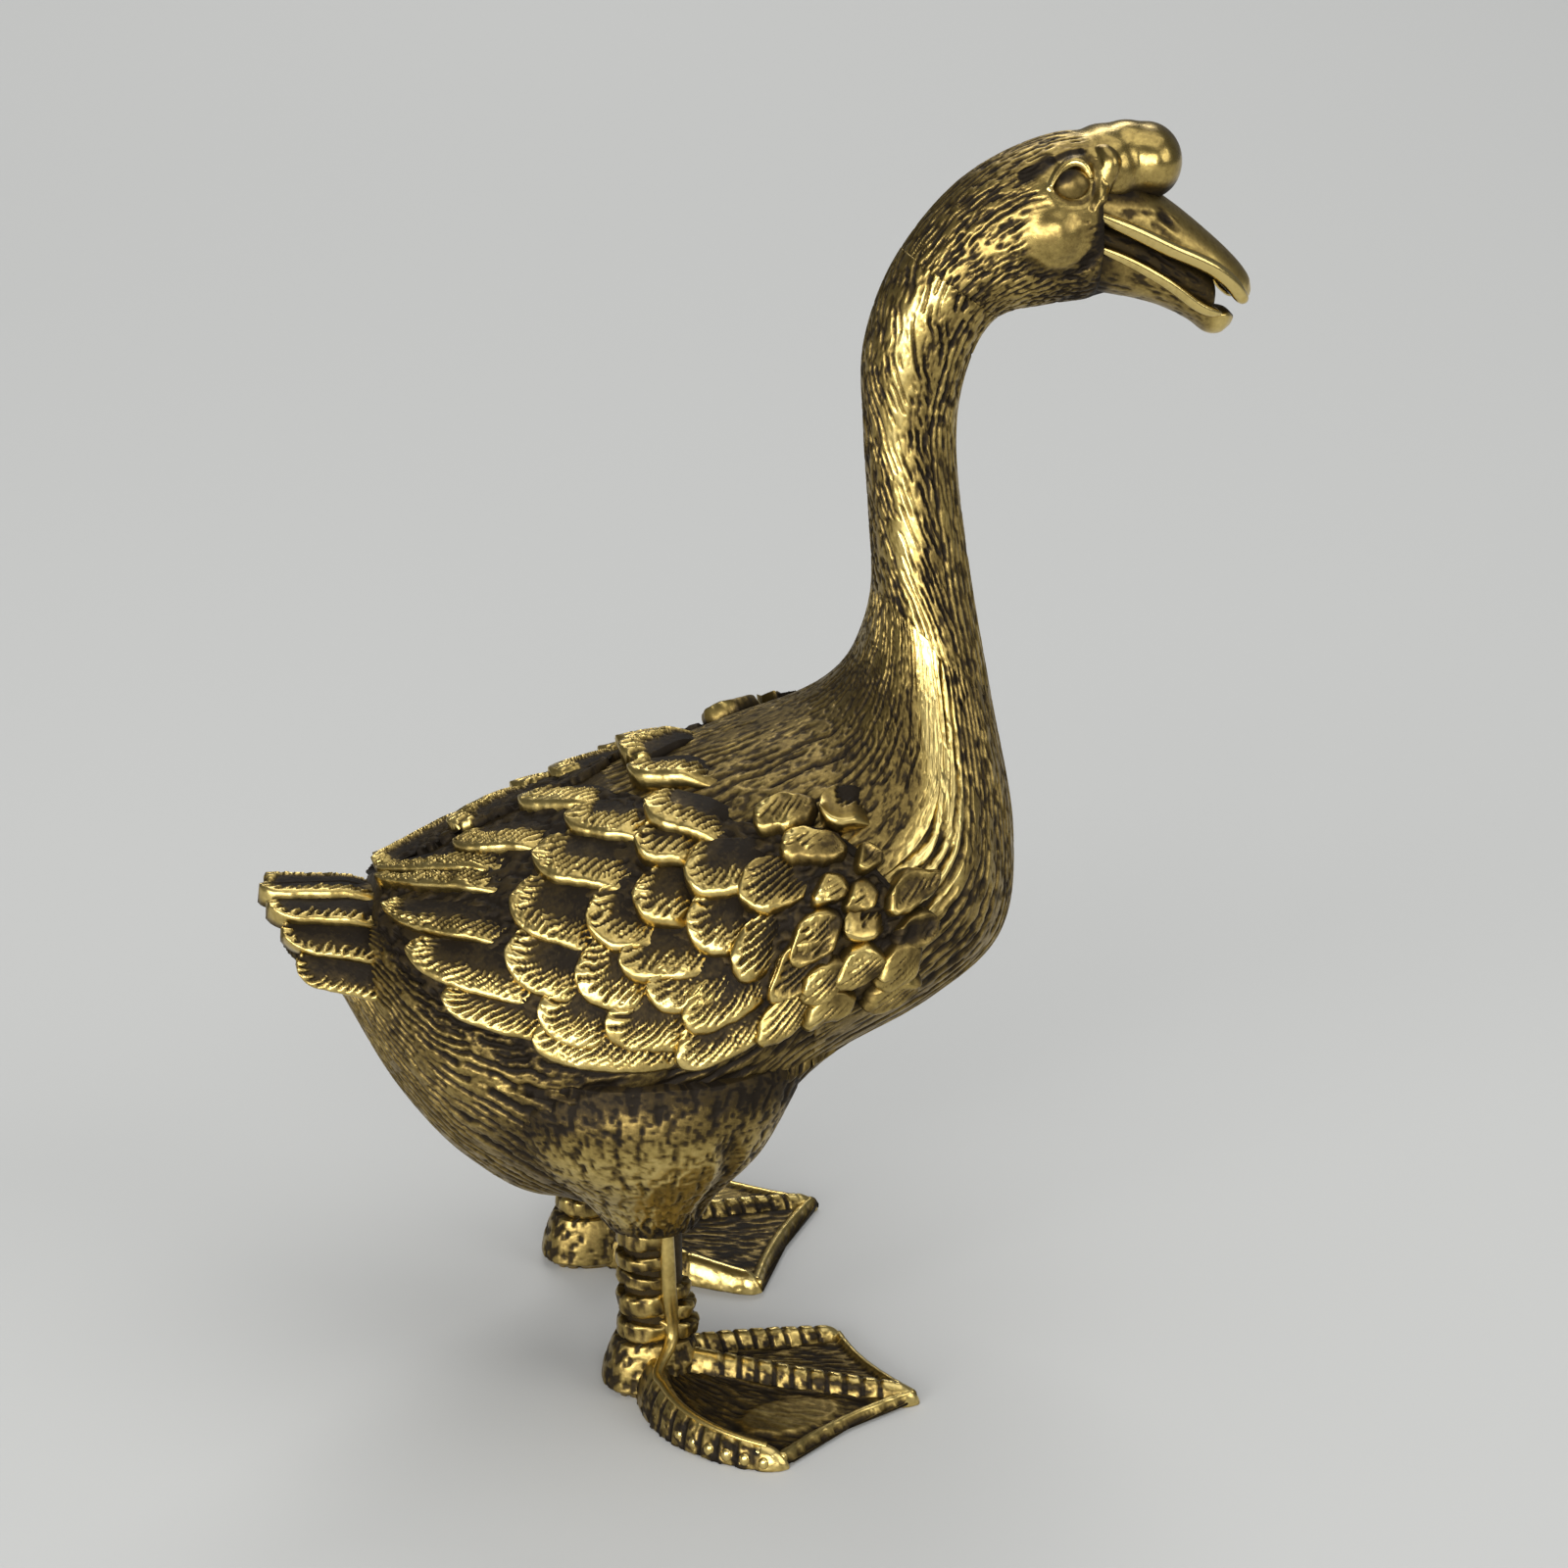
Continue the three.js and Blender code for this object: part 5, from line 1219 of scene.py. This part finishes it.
RINGS = make_rings()
for name, side in (("right_shank", -1), ("left_shank", 1)):
    x, y = leg_place(side)
    step, turn = lattice(np.linspace(0, 1, 60), np.radians(np.arange(0, 360, 5)))
    points = np.stack([x + (SHANK_LONG - 0.5) * np.cos(turn), y + (SHANK_WIDE - 0.4) * np.sin(turn),
                       ANKLE - 0.3 + (SHANK_HEIGHT + 0.6) * step], -1)
    core = sheet_piece(name + "_core", points[:, ::-1])
    keep_value(core, "relief", 0.25)
    core.data.materials.append(chased_brass)
    close_shells(core)
    seat(core, name)
    rings = mesh_piece(name + "_rings", [(x + ahead, y, ANKLE + up) for ahead, up in SHANK_SCALES[:, :2]])
    for label, column in (("high", 2), ("tip", 3), ("spread", 4)):
        keep_value(rings, label, SHANK_SCALES[:, column])
    shape_by(rings, RINGS, {"Long": SHANK_LONG - 0.85, "Wide": SHANK_WIDE - 0.4, "Thickness": 0.38,
                            "Relief": 0.72, "Material": chased_brass})
    settle(rings)
    keep_value(rings, "plumage", spots_of(rings))
    keep_value(rings, "pits", 1.0)
    cut_strokes(rings, "pits", long=0.5, wide=0.4, depth=0.12, share=0.47, dark=0.45, seed=5.0 + side)
    fit(rings, name)

# Feet: one webbed brass casting under each shank, held by a hidden pin. Three ridged toes with scutes run out
# from a boxy heel, the web between them is dished and dark, and its free edge and the nails are rubbed
# bright.
TOE_NAMES = ("outer", "middle", "inner")
# Each toe: length, bend to the outside, heading out from straight ahead in degrees.
TOES = {"right": ((10.6, 2.2, 62), (13.0, 0.3, 20), (10.0, -0.3, -12)),
        "left": ((10.6, 2.2, 54), (13.0, 0.3, 14), (10.0, -0.3, -36))}
TOE_ROOT_HALF, TOE_TIP_HALF, TOE_ROOT_HIGH, TOE_TIP_HIGH = 0.95, 0.6, 2.3, 1.0
HEEL_BACK, HEEL_FRONT, HEEL_WIDE, FOOT_HEIGHT = 2.6, 2.4, 2.0, 2.6
SCUTE_SPACING = 0.85
# Undersides of toes, webs and heel above the ground.
TOE_SOLE, WEB_SOLE, HEEL_SOLE = 0.06, 0.15, 0.02


def toe_line(side, toe, t):
    """Plan place and direction along a toe, from the shank to its tip."""
    long, bend, heading = toe
    root = np.array(leg_place(side))
    turn = math.radians(heading)
    tip = root + long * np.array([math.cos(turn), side * math.sin(turn)])
    knee = (root + tip) / 2 + 2 * bend * np.array([-math.sin(turn), side * math.cos(turn)])
    t = np.asarray(t, float)[..., None]
    place = (1 - t) ** 2 * root + 2 * t * (1 - t) * knee + t ** 2 * tip
    way = (1 - t) * (knee - root) + t * (tip - knee)
    return place, way / np.linalg.norm(way, axis=-1, keepdims=True)


def make_beads():
    """Small scutes set along a path, turned with it and sized by their points."""
    tree, given, result = shape_tree("scute beads", (
        ("Count", "Int", 7), ("Long", "Float", 0.4), ("Wide", "Float", 0.5), ("High", "Float", 0.4),
        ("Relief", "Float", 0.95), ("Seed", "Int", 1), ("Material", "Material", None)))
    curve = made(tree, "GeometryNodeMeshToCurve", {"Mesh": given["Geometry"]})
    spaced = made(tree, "GeometryNodeResampleCurve", {"Curve": curve, "Count": given["Count"]})
    ball = made(tree, "GeometryNodeMeshUVSphere", {"Segments": 12, "Rings": 7, "Radius": MM}, "Mesh")
    tangent = made(tree, "GeometryNodeInputTangent")
    heading = made(tree, "FunctionNodeAlignRotationToVector", {"Vector": tangent}, axis="X")
    vary = made(tree, "FunctionNodeRandomValue", {"Min": 0.8, "Max": 1.1, "Seed": given["Seed"]})
    swell = vary * named(tree, "girth")
    size = vector_of(tree, swell * given["Long"], swell * given["Wide"], swell * given["High"])
    beads = made(tree, "GeometryNodeInstanceOnPoints", {
        "Points": spaced, "Instance": ball, "Rotation": heading, "Scale": size})
    whole = made(tree, "GeometryNodeRealizeInstances", {"Geometry": beads})
    finish_tree(tree, store(tree, whole, "relief", given["Relief"]), given["Material"], result)
    return tree


BEADS = make_beads()
for name, side in (("right", -1), ("left", 1)):
    node = name + "_foot"
    x, y = leg_place(side)
    outer, middle, inner = TOES[name]
    for label, toe in zip(TOE_NAMES, TOES[name]):
        t, arc = lattice(np.linspace(0.03, 1, 170), np.linspace(0, math.pi, 40))
        place, way = toe_line(side, toe, t)
        end = np.sqrt(np.clip(1 - np.clip((t - 0.9) / 0.1, 0, 1) ** 2, 0.02, 1))
        beat = np.cos(2 * math.pi * t * toe[0] / SCUTE_SPACING + 1.1 * np.cos(arc))
        groove = ease(beat, 0.35, 0.9) * ease(t, 0.2, 0.3) * ease(t, 0.97, 0.9)
        rubbed = ease(t, 0.55, 0.65) if (name, label) == ("left", "inner") else ease(t, 0.85, 0.95)
        groove *= 1 - rubbed
        half = (TOE_ROOT_HALF + (TOE_TIP_HALF - TOE_ROOT_HALF) * t) * end * (1 - 0.1 * groove)
        high = (TOE_ROOT_HIGH + (TOE_TIP_HIGH - TOE_ROOT_HIGH) * t) * end - 0.1 * groove
        reach = half * np.cos(arc)
        z = TOE_SOLE + np.maximum(high - TOE_SOLE, 0.02) * np.sin(arc) ** 1.2
        points = np.stack([place[..., 0] - way[..., 1] * reach, place[..., 1] + way[..., 0] * reach, z], -1)
        part = sheet_piece(name + "_" + label + "_toe", points)
        keep_value(part, "plumage", np.stack([t * toe[0], reach, z], -1))
        crest = ease(np.sin(arc), 0.8, 0.98)
        keep_value(part, "relief", 0.62 + 0.3 * crest + 0.3 * rubbed - 0.55 * groove)
        keep_value(part, "strokes", (1 - 0.7 * crest) * (1 - 0.7 * rubbed))
        cut_strokes(part, "strokes", long=0.5, wide=0.3, depth=0.06, share=0.47, dark=0.5, seed=3.0)
        fit(part, node)
    for label, first, second in (("outer", outer, middle), ("inner", middle, inner)):
        t, f = lattice(np.linspace(0.05, 1, 100), np.linspace(0, 1, 70))
        plan = toe_line(side, first, t)[0] * (1 - f)[..., None] + toe_line(side, second, t)[0] * f[..., None]
        shank = np.array(leg_place(side))
        plan = shank + (plan - shank) * (1 - 0.18 * f * (1 - f) * t ** 2)[..., None]
        hem = ease(t, 0.93, 0.965) * ease(t, 1.0, 0.985)
        near_toe = np.abs(2 * f - 1) ** 3
        leaf = ease(np.hypot((t - 0.76) / 0.17, (f - 0.5) / 0.33), 1.0, 0.8) if label == "outer" else 0 * t
        z = 0.5 + 1.0 * (1 - t) ** 1.6 + 0.4 * near_toe * (1 - t) + 0.26 * hem + 0.14 * leaf
        z = z * ease(t, 1.02, 0.985)
        upper = np.concatenate([plan, z[..., None]], -1)
        lower = np.concatenate([plan, np.full(z.shape + (1,), WEB_SOLE)], -1)
        part = sheet_piece(name + "_" + label + "_web", fold_under(upper, lower))
        for kept, values in (("plumage", np.stack([t * 11, f * 9, 0 * t], -1)),
                             ("relief", 0.48 + 0.45 * hem + 0.2 * leaf),
                             ("strokes", 1 - 0.9 * hem - 0.65 * leaf)):
            keep_value(part, kept, fold_under(values, values))
        cut_strokes(part, "strokes", long=1.3, wide=0.4, depth=0.1, share=0.52, dark=0.4, seed=2.0)
        fit(part, node)
    t, turn = lattice(np.linspace(0, 1, 70), np.radians(np.arange(0, 360, 3)))
    reach = np.where(np.cos(turn) > 0, HEEL_FRONT, HEEL_BACK)
    long = reach + (SHANK_LONG - reach) * t ** 2
    wide = HEEL_WIDE + (SHANK_WIDE - HEEL_WIDE) * t ** 2
    box_x = np.sign(np.cos(turn)) * np.abs(np.cos(turn)) ** 0.8
    box_y = np.sign(np.sin(turn)) * np.abs(np.sin(turn)) ** 0.8
    sole = 0.85 + 0.15 * ease(t, 0, 0.15)
    points = np.stack([x + long * box_x * sole, y + wide * box_y * sole, HEEL_SOLE + FOOT_HEIGHT * t], -1)
    heel = sheet_piece(name + "_heel", points[:, ::-1])
    keep_value(heel, "plumage", np.stack([FOOT_HEIGHT * t, 2.2 * box_x, 2.0 * box_y], -1)[:, ::-1])
    keep_value(heel, "relief", 0.62)
    keep_value(heel, "strokes", 0.9)
    cut_strokes(heel, "strokes", long=0.6, wide=0.45, depth=0.08, share=0.47, dark=0.5, seed=4.0)
    fit(heel, node)
    t = np.linspace(0.22, 0.92, 8)
    place = toe_line(side, outer, t)[0]
    crest = TOE_ROOT_HIGH + (TOE_TIP_HIGH - TOE_ROOT_HIGH) * t
    strip = [(x + 0.5, y + side * 1.0, KNEE - 0.1), (x + 0.55, y + side * 1.15, ANKLE + 3.0),
             (x + 0.7, y + side * 1.2, ANKLE + 0.4)] + np.column_stack([place, crest - 0.05]).tolist()
    girths = [0.36, 0.42, 0.34] + list(0.26 - 0.1 * t)
    line = ridge_piece(name + "_strip", strip, girths, 0.75, chased_brass, 120)
    close_shells(line)
    seat(line, node)
    for label, toe in zip(TOE_NAMES, TOES[name]):
        t = np.linspace(0.84, 0.985, 5)
        nail_path = np.column_stack([toe_line(side, toe, t)[0], np.array((0.75, 0.7, 0.62, 0.52, 0.4))])
        girth = np.array((0.2, 0.4, 0.45, 0.38, 0.12)) * (1.0 if label == "outer" else 0.75)
        nail = ridge_piece(name + "_" + label + "_nail", nail_path, girth, 1.0, chased_brass, 30)
        close_shells(nail)
        seat(nail, node)
    t = np.linspace(0.3, 0.92, 20)
    place, way = toe_line(side, outer, t)
    beside = place + 0.52 * side * np.stack([-way[:, 1], way[:, 0]], -1)
    beads = path_piece(node + "_beads", np.column_stack([beside, 0.75 - 0.35 * t]), 1.1 - 0.4 * t)
    shape_by(beads, BEADS, {"Count": 9, "Long": 0.36, "Wide": 0.3, "High": 0.42, "Material": chased_brass})
    fit(beads, node)

# Dowels and foot pins: plain drawn brass rod, pressed into drilled holes and brazed. They are hidden in the
# joints, so they keep the bare colour of the metal.


def plain_finish(name, colour, metal, roughness):
    material = bpy.data.materials.new(name)
    material.use_nodes = True
    shader = material.node_tree.nodes["Principled BSDF"]
    shader.inputs["Base Color"].default_value = (*colour, 1)
    shader.inputs["Metallic"].default_value = metal
    shader.inputs["Roughness"].default_value = roughness
    return material


rod_brass = plain_finish("rod_brass", (0.55, 0.38, 0.13), 1.0, 0.4)
for node in ("neck_dowel", "head_dowel", "right_foot_pin", "left_foot_pin"):
    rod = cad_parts[node]
    rod.data.materials.clear()
    rod.data.materials.append(rod_brass)

# Stage: a wide pale floor that takes the figure's shadow, five soft lamps round it and a pale surround. None
# of it belongs to the part.
FLOOR_HALF = 3000
floor_corners = [(x * FLOOR_HALF, y * FLOOR_HALF, 0) for x, y in ((-1, -1), (1, -1), (1, 1), (-1, 1))]
floor = mesh_piece("floor", floor_corners, faces=[(0, 1, 2, 3)])
floor.data.materials.append(plain_finish("pale_floor", (0.40, 0.40, 0.388), 0.0, 0.7))

# The surround lights the floor evenly and shows darker in the metal.
SURROUND, SURROUND_IN_METAL = 0.62, 0.16
world = bpy.data.worlds.new("surround")
world.use_nodes = True
sky = world.node_tree
sky.nodes["Background"].inputs["Color"].default_value = (0.93, 0.95, 0.97, 1)
ray = sky.nodes.new("ShaderNodeLightPath")
dim = sky.nodes.new("ShaderNodeMapRange")
dim.inputs["To Min"].default_value = SURROUND
dim.inputs["To Max"].default_value = SURROUND_IN_METAL
sky.links.new(ray.outputs["Is Glossy Ray"], dim.inputs["Value"])
sky.links.new(dim.outputs["Result"], sky.nodes["Background"].inputs["Strength"])
bpy.context.scene.world = world


def turn_to(piece, way):
    """Puts a lamp or the camera in the scene, turned along a direction."""
    piece.rotation_mode = "QUATERNION"
    piece.rotation_quaternion = way.to_track_quat("-Z", "Y")
    bpy.context.scene.collection.objects.link(piece)


def soft_lamp(name, place, aim, wide, high, power):
    data = bpy.data.lights.new(name, "AREA")
    data.shape = "RECTANGLE"
    data.size, data.size_y = wide, high
    data.energy = power
    lamp = bpy.data.objects.new(name, data)
    lamp.location = place
    turn_to(lamp, Vector(aim) - Vector(place))


# Each lamp's place, aim, width and height in metres, and its watts.
soft_lamp("top_lamp", (0.10, -0.05, 0.90), (0, 0, 0.03), 0.8, 0.8, 2.6)
soft_lamp("window_lamp", (-0.44, -0.45, 0.17), (0, 0, 0.035), 0.3, 0.28, 2.5)
soft_lamp("front_lamp", (-0.12, -0.61, 0.26), (0, 0, 0.04), 0.4, 0.34, 3.2)
soft_lamp("side_lamp", (0.5, -0.4, 0.36), (0, 0, 0.03), 0.45, 0.4, 1.5)
soft_lamp("back_lamp", (0.1, 0.75, 0.8), (0, 0.9, 0), 0.6, 0.4, 5.0)

# The camera looks from the right side, a little from behind and above.
CAMERA_AWAY, AIM_AHEAD, AIM_UP = 165, 20.8, 6.3
camera_data = bpy.data.cameras.new("camera")
camera_data.sensor_width = 36
camera_data.lens = 78.4
camera_data.clip_start, camera_data.clip_end = 0.005, 20
camera = bpy.data.objects.new("camera", camera_data)
azimuth, elevation = math.radians(-10), math.radians(19)
level = math.cos(elevation)
back = Vector((math.sin(azimuth) * level, -math.cos(azimuth) * level, math.sin(elevation)))
aim = Vector((BODY_START[0] + AIM_AHEAD, MIDLINE, BODY_START[1] + AIM_UP)) * MM
camera.location = aim + back * CAMERA_AWAY * MM
turn_to(camera, -back)
bpy.context.scene.camera = camera
bpy.context.scene.view_settings.view_transform = "Standard"
